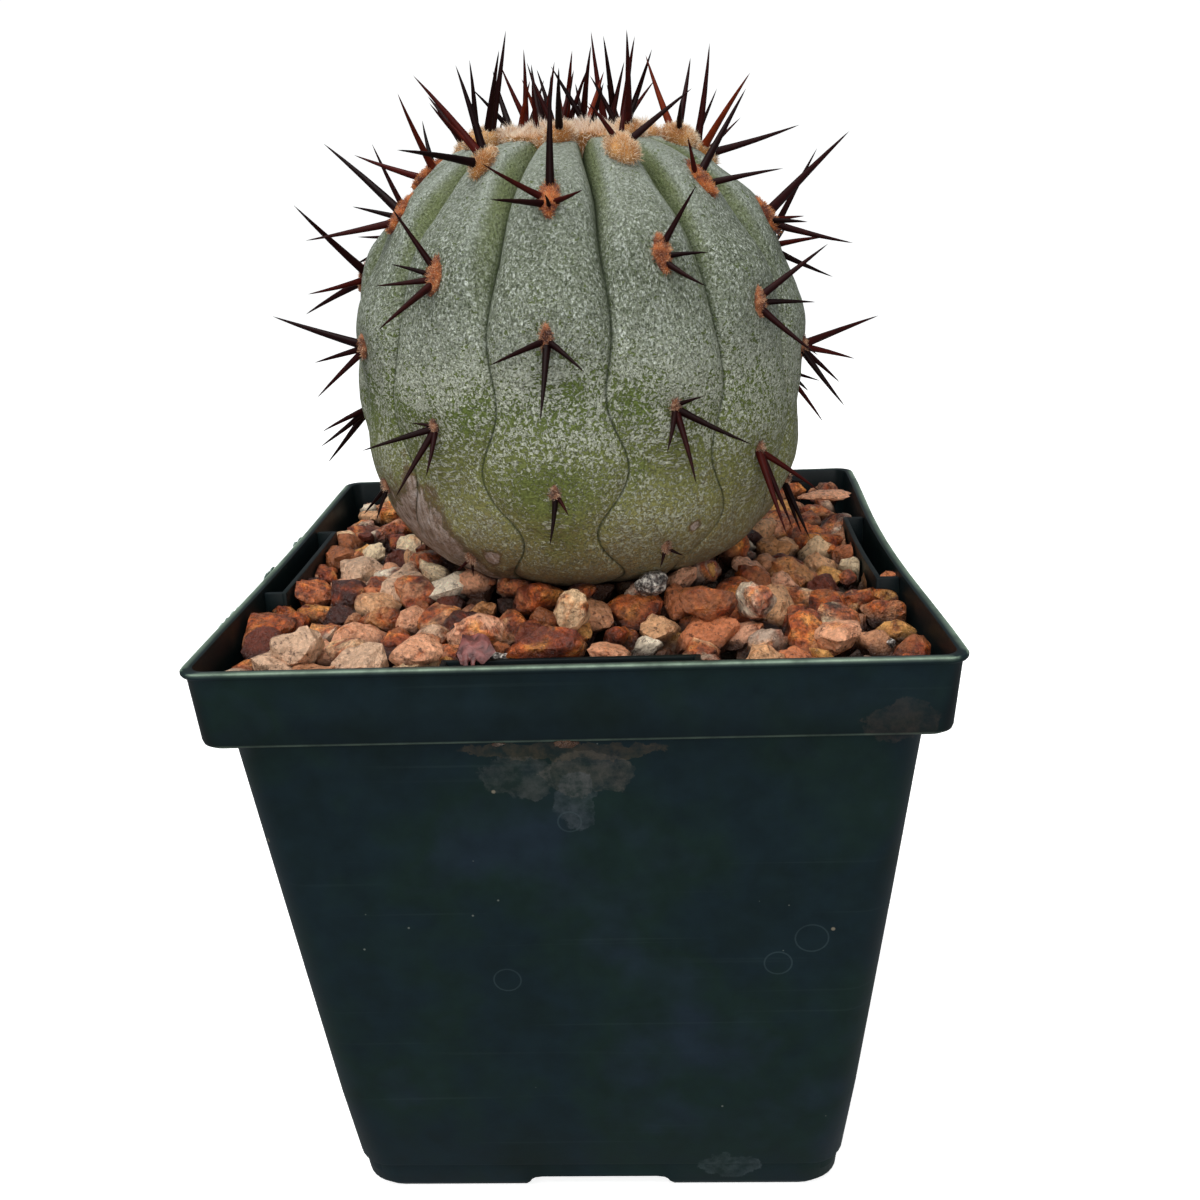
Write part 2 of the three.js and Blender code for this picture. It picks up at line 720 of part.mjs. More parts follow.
// The space that the gravel may fill: the cup above the soil, the rim band, and a little above the rim.
function gravelSpace() {
  const bottom = potHeight - soilDepth + gap;
  const shelf = shelfHeight + wall + gap;
  const bandHalf = bandFootHalf - wall - gap;
  const loops = [
    roundedSquare(insideHalf(bottom) - gap, cornerRadius - wall, bottom),
    roundedSquare(insideHalf(shelf) - gap, cornerRadius - wall, shelf),
    roundedSquare(bandHalf - 0.5, rimCornerRadius - 1, shelf),
    roundedSquare(bandHalf, rimCornerRadius - 1, shelf + 1),
    roundedSquare(bandHalf, rimCornerRadius - 1, potHeight + 10),
  ];
  let space = toSolid(loft(loops));
  for (let quarter = 0; quarter < 4; quarter++) {
    const inner = tabOuter - wall - gap;
    const outer = rimWidth / 2;
    const pocket = new THREE.BoxGeometry(outer - inner, 2 * (tabHalfLength + gap), bandHeight + 20);
    pocket.translate((inner + outer) / 2, 0, shelfHeight + (bandHeight + 20) / 2);
    pocket.rotateZ((quarter * Math.PI) / 2);
    space = space.subtract(toSolid(sagShape(pocket)));
  }
  return space;
}

function bedHeight(x, y) {
  const share = Math.max(Math.abs(x), Math.abs(y)) / (rimWidth / 2);
  return potHeight - THREE.MathUtils.lerp(bedMiddleDrop, bedEdgeDrop, Math.min(share, 1));
}

// The dressing as one crust: stones seated on an uneven honeycomb. Each stone is a tipped, flat-topped lump
// that fills its cell, and neighbours meet in the low corners and creases between them.
function stoneCrust(bottom) {
  const random = seededRandom(4051);
  const rowSpacing = stoneSpacing * Math.sqrt(0.75);
  const rows = Math.ceil(rimWidth / 2 / rowSpacing) + 1;
  const columns = Math.ceil(rimWidth / 2 / stoneSpacing) + 1;
  const seats = new Map();
  for (let row = -rows; row <= rows; row++) {
    for (let column = -columns; column <= columns; column++) {
      const shift = Math.abs(row % 2) * 0.5;
      const x = (column + shift) * stoneSpacing + between(random, -1.5, 1.5);
      const y = row * rowSpacing + between(random, -1.5, 1.5);
      seats.set(`${row},${column}`, { row, column, x, y });
    }
  }
  const positions = [];
  const indices = [];
  const addPoint = (x, y, z) => {
    positions.push(x, y, z);
    return positions.length / 3 - 1;
  };
  // Neighbours of a seat, anticlockwise from the one to its right.
  const neighbours = ({ row, column }) => {
    const lean = Math.abs(row % 2);
    const steps = [[0, 1], [1, lean], [1, lean - 1], [0, -1], [-1, lean - 1], [-1, lean]];
    return steps.map(([up, along]) => seats.get(`${row + up},${column + along}`));
  };
  const corners = new Map();
  const cornerOf = (three) => {
    const key = three.map(({ row, column }) => `${row},${column}`).sort().join('|');
    if (!corners.has(key)) {
      const x = three.reduce((sum, seat) => sum + seat.x, 0) / 3;
      const y = three.reduce((sum, seat) => sum + seat.y, 0) / 3;
      const low = bedHeight(x, y) + between(random, -0.8, 0.8);
      corners.set(key, { x, y, top: addPoint(x, y, low), foot: addPoint(x, y, bottom) });
    }
    return corners.get(key);
  };
  const edges = new Map();
  for (const seat of seats.values()) {
    const around = neighbours(seat);
    if (around.some((other) => other === undefined)) {
      continue;
    }
    const ring = around.map((other, k) => cornerOf([seat, other, around[(k + 1) % 6]]));
    const rise = between(random, ...stoneRise);
    const tip = [between(random, -0.35, 0.35), between(random, -0.35, 0.35)];
    const crest = ring.map((corner) => {
      const pull = between(random, 0.5, 0.86);
      const dx = pull * (corner.x - seat.x);
      const dy = pull * (corner.y - seat.y);
      const z = bedHeight(seat.x, seat.y) + rise + tip[0] * dx + tip[1] * dy;
      return addPoint(seat.x + dx, seat.y + dy, z);
    });
    const foot = addPoint(seat.x, seat.y, bottom);
    for (let k = 0; k < 6; k++) {
      const next = (k + 1) % 6;
      indices.push(ring[k].top, ring[next].top, crest[next], ring[k].top, crest[next], crest[k]);
      indices.push(foot, ring[next].foot, ring[k].foot);
      edges.set(`${ring[next].top}>${ring[k].top}`, [ring[k], ring[next]]);
    }
    for (let k = 1; k < 5; k++) {
      indices.push(crest[0], crest[k], crest[k + 1]);
    }
  }
  // The crust's outer edge drops straight to its underside.
  for (const [from, to] of edges.values()) {
    if (!edges.has(`${from.top}>${to.top}`)) {
      indices.push(from.top, from.foot, to.foot, from.top, to.foot, to.top);
    }
  }
  const geometry = new THREE.BufferGeometry();
  geometry.setAttribute('position', new THREE.Float32BufferAttribute(positions, 3));
  geometry.setIndex(indices);
  return toSolid(geometry);
}

function makeGravel() {
  const crust = stoneCrust(potHeight - soilDepth - 1);
  const dressing = crust.intersect(gravelSpace());
  return mainBody(dressing.subtract(plantHole()));
}

// ---------------------------------------------------------------- assembly

const pottedCactus = new THREE.Group();
pottedCactus.add(
  toMesh('pot', makePot(), { color: 0x16241f, roughness: 0.42, metalness: 0 }),
  toMesh('potting_mix', makePottingMix(), { color: 0x3a2c22, roughness: 0.95, metalness: 0 }),
  toMesh('gravel', makeGravel(), { color: 0xa9744f, roughness: 0.85, metalness: 0 }),
  toMesh('cactus', makeCactus(), { color: 0x8d9c82, roughness: 0.7, metalness: 0 }),
  toMesh('crown_wool', makeCrownWool(), { color: 0xcfa274, roughness: 1, metalness: 0 }),
);

export default pottedCactus;
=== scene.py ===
import json
import math

import bmesh
import bpy
import numpy as np
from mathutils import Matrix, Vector, noise

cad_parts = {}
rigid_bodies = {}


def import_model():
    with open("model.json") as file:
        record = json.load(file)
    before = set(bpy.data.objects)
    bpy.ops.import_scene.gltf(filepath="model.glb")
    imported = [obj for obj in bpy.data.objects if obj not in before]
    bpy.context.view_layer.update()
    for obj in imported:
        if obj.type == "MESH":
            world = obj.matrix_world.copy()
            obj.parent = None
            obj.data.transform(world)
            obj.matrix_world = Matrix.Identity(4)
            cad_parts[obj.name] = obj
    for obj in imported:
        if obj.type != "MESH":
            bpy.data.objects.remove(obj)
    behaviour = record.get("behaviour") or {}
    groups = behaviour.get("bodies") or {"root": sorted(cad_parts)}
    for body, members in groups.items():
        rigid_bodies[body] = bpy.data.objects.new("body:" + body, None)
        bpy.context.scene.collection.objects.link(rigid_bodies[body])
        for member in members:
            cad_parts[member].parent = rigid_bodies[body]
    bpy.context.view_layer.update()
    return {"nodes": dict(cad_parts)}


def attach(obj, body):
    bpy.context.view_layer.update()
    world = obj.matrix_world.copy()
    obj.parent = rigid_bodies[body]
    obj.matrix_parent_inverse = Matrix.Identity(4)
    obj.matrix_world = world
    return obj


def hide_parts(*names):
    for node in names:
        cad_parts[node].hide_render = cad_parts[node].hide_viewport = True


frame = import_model()

# ---------------------------------------------------------------- the pot
# A square nursery pot, injection moulded in one thin shell of black-green polypropylene. A stepped-out rim
# band stiffens its mouth, and an inner tab on each side makes a pocket for the plant's label. The sides have
# sagged inwards near the rim, most on the right, and the front has kept straight.

# The rim's height and half width, the wall's thickness, the height of the step under the band, the depth of
# the sag on the left and at the back, and its depth on the right, all in millimetres.
rim_height, rim_half, wall, shelf = 101.6, 54, 0.9, 89.6
sag_usual, sag_right = 0.6, 1.8


def smooth(low, high, value):
    t = np.clip((value - low) / (high - low), 0, 1)
    return t * t * (3 - 2 * t)


def sag(points):
    x, y, z = np.array(points, float).T
    high = smooth(56, rim_height, z)

    def pull(outward, along, depth):
        return depth * high * smooth(0.62, 0.92, outward / rim_half) * (1 - (along / rim_half) ** 2) ** 2

    return np.stack([x + pull(-x, y, sag_usual) - pull(x, y, sag_right), y - pull(y, x, sag_usual), z], 1)


def rounded_square(half, radius, z, side_steps=12, corner_steps=8):
    points = []
    for side in range(4):
        turn = side * math.pi / 2
        ahead = np.array([math.cos(turn), math.sin(turn)])
        left = np.array([-math.sin(turn), math.cos(turn)])
        for k in range(side_steps):
            points.append([*(half * ahead + (half - radius) * (2 * k / side_steps - 1) * left), z])
        middle = (half - radius) * (ahead + left)
        for k in range(corner_steps):
            angle = turn + k * math.pi / 2 / corner_steps
            points.append([middle[0] + radius * math.cos(angle), middle[1] + radius * math.sin(angle), z])
    return sag(points)


def loft(loops, closed=True):
    """Points and faces of a skin through equal loops, which run anticlockwise seen from above."""
    count = len(loops[0])
    faces = []
    for k in range(len(loops) - 1):
        for i in range(count):
            a, b = k * count + i, k * count + (i + 1) % count
            faces.append((a, b, b + count, a + count))
    if closed:
        faces.append(tuple(range(count - 1, -1, -1)))
        faces.append(tuple(range((len(loops) - 1) * count, len(loops) * count)))
    return np.concatenate(loops), faces


def new_piece(name, points, faces):
    """A mesh object from points in millimetres."""
    mesh = bpy.data.meshes.new(name)
    mesh.from_pydata((np.asarray(points) / 1000).tolist(), [], faces)
    piece = bpy.data.objects.new(name, mesh)
    bpy.context.scene.collection.objects.link(piece)
    return piece


def points_of(piece):
    """A piece's points in millimetres."""
    return np.array([v.co for v in piece.data.vertices]) * 1000


def settle(piece):
    """Works the piece's modifiers into a plain mesh of its own."""
    graph = bpy.context.evaluated_depsgraph_get()
    mesh = bpy.data.meshes.new_from_object(piece.evaluated_get(graph), depsgraph=graph)
    piece.modifiers.clear()
    piece.data = mesh
    mesh.name = piece.name


def join(piece, *others):
    """Adds other pieces' meshes to the first piece's mesh, and removes those pieces."""
    body = bmesh.new()
    for part in (piece, *others):
        body.from_mesh(part.data)
    body.to_mesh(piece.data)
    body.free()
    for part in others:
        bpy.data.objects.remove(part)


def face_outwards(piece):
    body = bmesh.new()
    body.from_mesh(piece.data)
    bmesh.ops.recalc_face_normals(body, faces=body.faces)
    body.to_mesh(piece.data)
    body.free()


def inside_half(z):
    """The cup's half width inside, which tapers from the step down to the floor."""
    floor, at_floor, at_shelf = 3.6, 40.6, 49.2
    return at_floor + (z - floor) * (at_shelf - at_floor) / (shelf - floor)


# Half width, corner radius and height: from the underside, round the foot ring, up the wall, over the lip and
# down the inside to the floor.
shell = [(37.6, 4.5, 2.6), (38.3, 5, 0.4), (38.6, 5, 0.05), (38.8, 5.2, 0), (39.4, 5.9, 0), (39.7, 6, 0.1)]
shell += [(39.9, 6, 0.4), (40.6, 6, 1.4), (41.0, 6, 5.6), (41.4, 6, 5.75), (41.5, 6, 6.0)]
shell += [(inside_half(z) + wall, 6, z) for z in (20, 34, 48, 60, 70, 79, 86)]
shell += [(50.05, 6, 89.2), (50.2, 6, 89.5), (50.5, 5.4, shelf), (51.9, 3.2, shelf), (52.3, 3.2, 89.7)]
shell += [(52.65, 3.2, 90.0), (52.72, 3.2, 90.3), (52.8, 3.2, 90.6), (53.1, 3.2, 95.5), (53.4, 3.2, 100.2)]
shell += [(53.5, 3.2, 100.5), (53.85, 3.2, 100.7), (54, 3.2, 101.0), (54, 3.2, 101.35), (53.85, 3.1, 101.55)]
shell += [(53.6, 3, 101.6)]
shell += [(52.8, 2.5, 101.6), (52.5, 2.3, 101.5), (52.4, 2.3, 101.1), (52.1, 2.4, 95), (51.9, 2.4, 91.1)]
shell += [(51.6, 2.4, 90.6), (51.2, 2.6, 90.5), (49.5, 4.8, 90.5), (49.2, 5.1, 90.3), (49.1, 5.1, 89.6)]
shell += [(inside_half(z), 5.1, z) for z in (84, 76, 66, 54, 40, 20, 3.6)]
pot = new_piece("pot_shell", *loft([rounded_square(*step) for step in shell]))

# Four notches let water out from under the foot ring, and four holes drain the floor.
cuts = []
for quarter in range(4):
    turn = np.array([[math.cos(quarter * math.pi / 2), math.sin(quarter * math.pi / 2), 0],
                     [-math.sin(quarter * math.pi / 2), math.cos(quarter * math.pi / 2), 0], [0, 0, 1]])
    side = [(13.7, -1), (12.7, 0), (11.6, 1.9), (11, 2.3), (9.7, 2.5)]
    outline = [(-13.7, -1), *side, *[(-x, z) for x, z in side[:0:-1]]]
    ends = [np.array([(x, y, z) for x, z in outline]) @ turn for y in (-43.8, -35.8)]
    cuts.append(new_piece("notch", *loft(ends)))
    angles = [k * math.pi / 16 for k in range(32)]
    ends = [np.array([(26 + 4.5 * math.cos(a), 26 + 4.5 * math.sin(a), z) for a in angles]) @ turn for z in (1, 5)]
    cuts.append(new_piece("drain", *loft(ends)))
join(cuts[0], *cuts[1:])
face_outwards(cuts[0])
cutting = pot.modifiers.new("Notches and drains", "BOOLEAN")
cutting.object = cuts[0]
cutting.solver = "EXACT"
settle(pot)
bpy.data.objects.remove(cuts[0])

# The label pockets: a tab along the middle of each side, and two webs that tie it to the band.
for quarter in range(4):
    slabs = []
    for x0, x1, y0, y1 in ((48.6, 49.5, -18, 18), (49.1, 52.3, -18, -17.1), (49.1, 52.3, 17.1, 18)):
        rows = [np.array([(x0, y, 89.9), (x1, y, 89.9), (x1, y, 100.9), (x0, y, 100.9)])
                for y in np.linspace(y0, y1, 13 if y1 - y0 > 5 else 2)]
        slabs.append(new_piece("slab", *loft([row[::-1] for row in rows])))
    join(slabs[0], *slabs[1:])
    edge = slabs[0].modifiers.new("Moulded edges", "BEVEL")
    edge.width = 0.0002
    edge.segments = 2
    settle(slabs[0])
    points = points_of(slabs[0])
    angle = quarter * math.pi / 2
    turned = np.stack([points[:, 0] * math.cos(angle) - points[:, 1] * math.sin(angle),
                       points[:, 0] * math.sin(angle) + points[:, 1] * math.cos(angle), points[:, 2]], 1)
    slabs[0].data.vertices.foreach_set("co", (sag(turned) / 1000).ravel())
    join(pot, slabs[0])


def shade(piece, angle):
    """Smooth shading, with hard edges only where faces meet at more than the angle in degrees."""
    piece.data.shade_smooth()
    piece.data.set_sharp_from_angle(angle=math.radians(angle))


def mark(piece, name, values):
    """Gives each point of a piece a value, which its material or its modifiers use."""
    values = np.asarray(values, np.float32)
    piece.data.attributes.new(name, "FLOAT", "POINT").data.foreach_set("value", values)


# The lip's outer edge is worn, a painted highlight runs along the band's lower edge, and painted shade darkens the
# inside above the step.
shade(pot, 38)
places = points_of(pot)
sagged = np.where(places[:, 0] > 0, sag_right, sag_usual) * (1 - (places[:, 1] / rim_half) ** 2) ** 2
outermost = np.maximum(abs(places[:, 0]) + sagged, abs(places[:, 1]))
lip_wear = smooth(53.4, 53.8, outermost) * smooth(101.3, 101.5, places[:, 2])
# A painted highlight: a thin pale line along the band's lower edge.
band_highlight = 0.3 * (outermost > 52.4) * np.exp(-((places[:, 2] - 90) / 0.12) ** 2)
mark(pot, "worn", lip_wear + band_highlight)
# Painted shade: how far each point lies inside the band above the step.
mark(pot, "sheltered", (1 - smooth(52.3, 53.3, outermost)) * smooth(89.5, 90.2, places[:, 2]))


def tone(code):
    """An sRGB hex colour as linear red, green, blue and alpha."""
    parts = [int(code[k:k + 2], 16) / 255 for k in (1, 3, 5)]
    return [c / 12.92 if c <= 0.04045 else ((c + 0.055) / 1.055) ** 2.4 for c in parts] + [1]


def feed(tree, made, inputs):
    """Sets a node's sockets to values or links. A node given as a value stands for its first open output."""
    for key, value in inputs.items():
        if isinstance(value, bpy.types.Node):
            value = next(socket for socket in value.outputs if socket.enabled)
        if isinstance(value, bpy.types.NodeSocket):
            tree.links.new(value, made.inputs[key])
        else:
            made.inputs[key].default_value = value


def add(tree, kind, *values, stops=(), **named):
    """Adds a node. Values go into its open sockets in order. A named value with a capital letter goes into
    the socket of that name, any other is a setting, and stops are a colour ramp's places and tones."""
    made = tree.nodes.new(kind if "Node" in kind else "ShaderNode" + kind)
    for key in filter(str.islower, named):
        setattr(made, key, named[key])
    opened = [place for place, socket in enumerate(made.inputs) if socket.enabled]
    feed(tree, made, dict(zip(opened, values)))
    feed(tree, made, {key.replace("_", " "): value for key, value in named.items() if not key.islower()})
    if stops:
        ramp = made.color_ramp
        ramp.elements.remove(ramp.elements[1])
        ramp.elements[0].position = stops[0][0]
        ramp.elements[0].color = tone(stops[0][1])
        for place, code in stops[1:]:
            ramp.elements.new(place).color = tone(code)
    return made


def new_material(name):
    """A material, its node tree, its Principled shader, and the piece's own coordinates."""
    material = bpy.data.materials.new(name)
    material.use_nodes = True
    tree = material.node_tree
    place = add(tree, "TexCoord").outputs["Object"]
    return material, tree, tree.nodes["Principled BSDF"], place


MIX = {"data_type": "RGBA"}

# Injection-moulded polypropylene, dyed black-green. It is satin, a little dusty, rubbed by handling, and
# chalky where the thin lip has been worn. Hard water has dried in a stain under the front of the band.
moulded_polypropylene, tree, shader, place = new_material("moulded_polypropylene")
cloudy = add(tree, "TexNoise", Vector=place, Scale=28, Detail=4, Roughness=0.6)
colour = add(tree, "ValToRGB", cloudy, stops=[(0.34, "#0f1f1e"), (0.46, "#13242a"), (0.56, "#142724"),
                                              (0.68, "#1c2a34")])
axes = add(tree, "SeparateXYZ", Vector=place).outputs
fine = add(tree, "TexNoise", Vector=place, Scale=420, Detail=5, Roughness=0.7)
front = add(tree, "MapRange", axes["Y"], -0.03, -0.036, 0, 1)
flat_place = add(tree, "CombineXYZ", X=axes["X"], Z=axes["Z"])
ragged = add(tree, "TexNoise", Vector=place, Scale=190, Detail=6, Roughness=0.65)
bent = add(tree, "VectorMath", ragged.outputs["Color"], (0.006, 0, 0.006), flat_place, operation="MULTIPLY_ADD")

mottled = add(tree, "MapRange", ragged, 0.3, 0.7, 0.82, 1.2)
colour = add(tree, "Mix", 1, colour, mottled, blend_type="MULTIPLY", **MIX)
# Painted shade: the inside of the band above the step is darkened to near black.
inside_shade = add(tree, "Attribute", attribute_name="sheltered").outputs["Fac"]
inside_shade = add(tree, "Math", inside_shade, 0.75, operation="MULTIPLY")
colour = add(tree, "Mix", inside_shade, colour, tone("#060c0d"), **MIX)

# Dried water marks and smudges, each a thin film with a pale rim: middle x and z, half width and half
# height in metres, strength, tone.
for x, z, wide, tall, strength, code in ((-0.0055, 0.0858, 0.0050, 0.0036, 0.13, "#7d7a78"),
                                         (0.0050, 0.0866, 0.0068, 0.0038, 0.15, "#8b8074"),
                                         (0.0028, 0.0818, 0.0034, 0.0046, 0.12, "#7b8088"),
                                         (0.0010, 0.0903, 0.0150, 0.0014, 0.20, "#6b5a44"),
                                         (0.0250, 0.0085, 0.0050, 0.0027, 0.10, "#7f8d92"),
                                         (0.0480, 0.0945, 0.0050, 0.0040, 0.09, "#7a6255")):
    away = add(tree, "VectorMath", bent, (x, 0, z), operation="SUBTRACT")
    away = add(tree, "VectorMath", away, (wide, 1, tall), operation="DIVIDE")
    away = add(tree, "VectorMath", away, operation="LENGTH")
    film = add(tree, "MapRange", away, 1.06, 0.88, 0, strength, interpolation_type="SMOOTHSTEP")
    rim = add(tree, "Math", away, 0.97, 0.045, operation="COMPARE")
    film = add(tree, "Math", rim, strength * 0.5, film, operation="MULTIPLY_ADD")
    patchy = add(tree, "MapRange", fine, 0.38, 0.66, 0.2, 1.6)
    film = add(tree, "Math", film, patchy, operation="MULTIPLY")
    film = add(tree, "Math", film, front, operation="MULTIPLY")
    colour = add(tree, "Mix", film, colour, tone(code), **MIX)

# Faint rings where drops have dried: middle x and z, and radius in metres.
for x, z, radius in ((-0.0125, 0.0459, 0.0021), (0.0293, 0.0486, 0.0021), (0.0343, 0.0533, 0.0025),
                     (-0.0013, 0.0751, 0.0017)):
    away = add(tree, "VectorMath", flat_place, (x, 0, z), operation="DISTANCE")
    line = add(tree, "Math", away, radius, 0.00012, operation="COMPARE")
    for share in (ragged, front, 0.22):
        line = add(tree, "Math", line, share, operation="MULTIPLY")
    colour = add(tree, "Mix", line, colour, tone("#6d8084"), **MIX)

# Dust: pale grains about 0.25 mm across, a few millimetres apart, on some of the cells only.
for scale, size, code in ((260, 0.055, "#8a9088"), (90, 0.035, "#a79a84")):
    grain = add(tree, "TexVoronoi", Vector=place, Scale=scale)
    chosen = add(tree, "Math", grain.outputs["Color"], 0.62, operation="GREATER_THAN")
    speck = add(tree, "MapRange", grain.outputs["Distance"], size, size * 0.6, 0, 0.55)
    speck = add(tree, "Math", speck, chosen, operation="MULTIPLY")
    colour = add(tree, "Mix", speck, colour, tone(code), **MIX)

# The worn outer edge of the lip, and the painted highlight along the band's lower edge.
lip = add(tree, "Attribute", attribute_name="worn").outputs["Fac"]
rubbed = add(tree, "MapRange", ragged, 0.3, 0.6, 0.35, 1.0)
lip = add(tree, "Math", lip, rubbed, operation="MULTIPLY")
colour = add(tree, "Mix", lip, colour, tone("#9cb39c"), **MIX)

# Handling scratches: long, thin and nearly level.
stretched = add(tree, "Mapping", Vector=place, Rotation=(0.05, 0.16, 0), Scale=(14, 14, 900))
scratch = add(tree, "TexNoise", Vector=stretched, Scale=1, Detail=2)
scratch = add(tree, "MapRange", scratch, 0.66, 0.74, 0, 1)
faint = add(tree, "Math", scratch, 0.05, operation="MULTIPLY")
colour = add(tree, "Mix", faint, colour, tone("#5c6f6d"), **MIX)
rough = add(tree, "MapRange", ragged, 0.3, 0.7, 0.38, 0.5)
bump = add(tree, "Bump", Strength=0.25, Distance=0.0002, Height=ragged)
feed(tree, shader, {"Base Color": colour, "Roughness": rough, "Normal": bump, "IOR": 1.49,
                    "Specular IOR Level": 0.2})

pot.data.materials.clear()
pot.data.materials.append(moulded_polypropylene)
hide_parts("pot")
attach(pot, "root")

# Thin white flash from the mould, still hanging in ragged bits on the left edge of the lip.
chance = np.random.default_rng(31)
flakes = []
for middle in (-50, -46, -36, -31, -28, -11, -7, 9):
    for k in range(3):
        y = middle + chance.uniform(-2, 2)
        long, high = chance.uniform(1.2, 3.2), chance.uniform(0.15, 0.5)
        outer = -53.92 + chance.uniform(0, 0.3)
        points = [(outer, y, 101.2), (outer, y + long, 101.2), (outer - 0.02, y + 0.7 * long, 101.2 + high),
                  (outer - 0.02, y + 0.25 * long, 101.2 + high * 0.6)]
        thick = [(x + 0.15, py, z) for x, py, z in points]
        flakes.append(new_piece("flake", *loft([np.array(points[::-1]), np.array(thick[::-1])])))
join(flakes[0], *flakes[1:])
flash = flakes[0]
flash.name = "mould_flash"
face_outwards(flash)
# Torn polypropylene: thin enough to look pale, and dull where it has stretched.
torn_polypropylene, tree, shader, place = new_material("torn_polypropylene")
cloudy = add(tree, "TexNoise", Vector=place, Scale=900, Detail=3)
colour = add(tree, "ValToRGB", cloudy, stops=[(0.35, "#5b7a70"), (0.6, "#b9c8c1")])
feed(tree, shader, {"Base Color": colour, "Roughness": 0.6})
flash.data.materials.append(torn_polypropylene)
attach(flash, "root")

# ---------------------------------------------------------------- the potting mix
# Composted bark with pumice, filling the cup up to 14 mm below the rim. It shows only through the drain
# holes, so the solid itself is kept, and its material carries the crumbs.

bark_and_pumice, tree, shader, place = new_material("bark_and_pumice")
crumbs = add(tree, "TexVoronoi", Vector=place, Scale=380)
colour = add(tree, "ValToRGB", crumbs.outputs["Color"], stops=[(0.0, "#1d140e"), (0.45, "#3a2a1e"),
                                                               (0.8, "#5a4330"), (0.95, "#b9ab96")])
bump = add(tree, "Bump", Strength=0.8, Distance=0.001, Height=crumbs.outputs["Distance"])
feed(tree, shader, {"Base Color": colour, "Roughness": 0.95, "Normal": bump})
frame["nodes"]["potting_mix"].material_slots[0].material = bark_and_pumice

# ---------------------------------------------------------------- the plant's form
# A thirteen-ribbed globular cactus. Its outline is a profile of revolution, cut by a groove between each pair
# of ribs and swollen by a tubercle above each areole. The areoles wind round the ribs in a regular spiral.

# The plant's middle from the pot's, the radius of its crests, the height of its widest place, how far the crown
# rises and the base drops from there, how squarely each of the two bends in, and the neck above the root.
plant_x = 0.6
crest_radius, equator, crown_rise, base_drop = 36.2, rim_height + 37.5, 33.4, 39
crown_power, base_power, neck_radius = 1.93, 3.4, 14
rib_count = 13
# How far each rib's areoles lag behind the spiral, as a share of their spacing, and its lean in degrees.
rib_quirks = [(0, 0), (0.1, 0.8), (0.11, -0.7), (0.14, 0.5), (0.05, -0.8), (-0.05, 0.6), (0.04, -0.5),
              (-0.03, 0.7), (0.06, -0.4), (-0.08, 0.5), (-0.16, -0.6), (-0.1, -3.2), (-0.02, -1.8)]
# The areoles' full spacing down a rib, how many of them it takes to reach it, and how far the wool reaches.
wide_spacing, spacing_growth = 23.3, 2.29
wool_reach = 24

angle = math.pi / 2 - np.arange(601) * math.pi / 600
across, up = np.maximum(np.cos(angle), 0), np.sin(angle)
power = 2 / np.where(up >= 0, crown_power, base_power)
trace_r = crest_radius * across ** power
domed = equator + np.where(up >= 0, crown_rise, -base_drop) * np.abs(up) ** power
trace_z = domed - 3.8 * (1 - smooth(0, 21, trace_r)) * (up >= 0)
trace_s = np.concatenate([[0], np.cumsum(np.hypot(np.diff(trace_r), np.diff(domed)))])
last = int(np.argmax((up < -0.5) & (trace_r < neck_radius))) + 1
trace_r, trace_z, trace_s = trace_r[:last], trace_z[:last], trace_s[:last]
body_length = trace_s[-1]


def profile_at(s):
    """Radius, height and outward slope of the rib crests at a length in millimetres down from the crown."""
    k = np.clip(np.searchsorted(trace_s, s, side="right") - 1, 0, len(trace_s) - 2)
    t = (s - trace_s[k]) / (trace_s[k + 1] - trace_s[k])
    dr, dz = trace_r[k + 1] - trace_r[k], trace_z[k + 1] - trace_z[k]
    size = np.hypot(dr, dz)
    return trace_r[k] + t * dr, trace_z[k] + t * dz, -dz / size, dr / size


def length_at(phase):
    return wide_spacing * spacing_growth * math.log(math.cosh(phase / spacing_growth))


# The spiral steps on by 5/13 of a spacing from rib to rib, and the first rib faces the front.
rib_phase = [(0.67 + k * 5 / rib_count + lag + 4) % 1 for k, (lag, lean) in enumerate(rib_quirks)]
rib_bearing = [math.radians(-94.2 + k * 360 / rib_count + lean) for k, (lag, lean) in enumerate(rib_quirks)]


def swelling(rib, s):
    phase = spacing_growth * np.arccosh(np.exp(s / (wide_spacing * spacing_growth)))
    return 0.5 + 0.5 * np.cos(2 * math.pi * (phase - rib_phase[rib] + 0.15))


def rib_span(rib, share):
    """The next rib on the side that the share leans to, and the angle to it."""
    other = (rib + (1 if share >= 0 else -1)) % rib_count
    span = rib_bearing[other] - rib_bearing[rib]
    return other, math.atan2(math.sin(span), math.cos(span))


# How squarely a rib falls into its groove, by rib and side: 2.6 is a long slope and 6 a steep bank.
groove_power = {(12, 1): 2.8, (11, 1): 2.8, (10, 1): 2.8, (0, -1): 5.5, (0, 1): 5.5, (1, -1): 4.2, (1, 1): 2.9,
                (2, -1): 4.6, (2, 1): 3.0, (12, -1): 4.6}


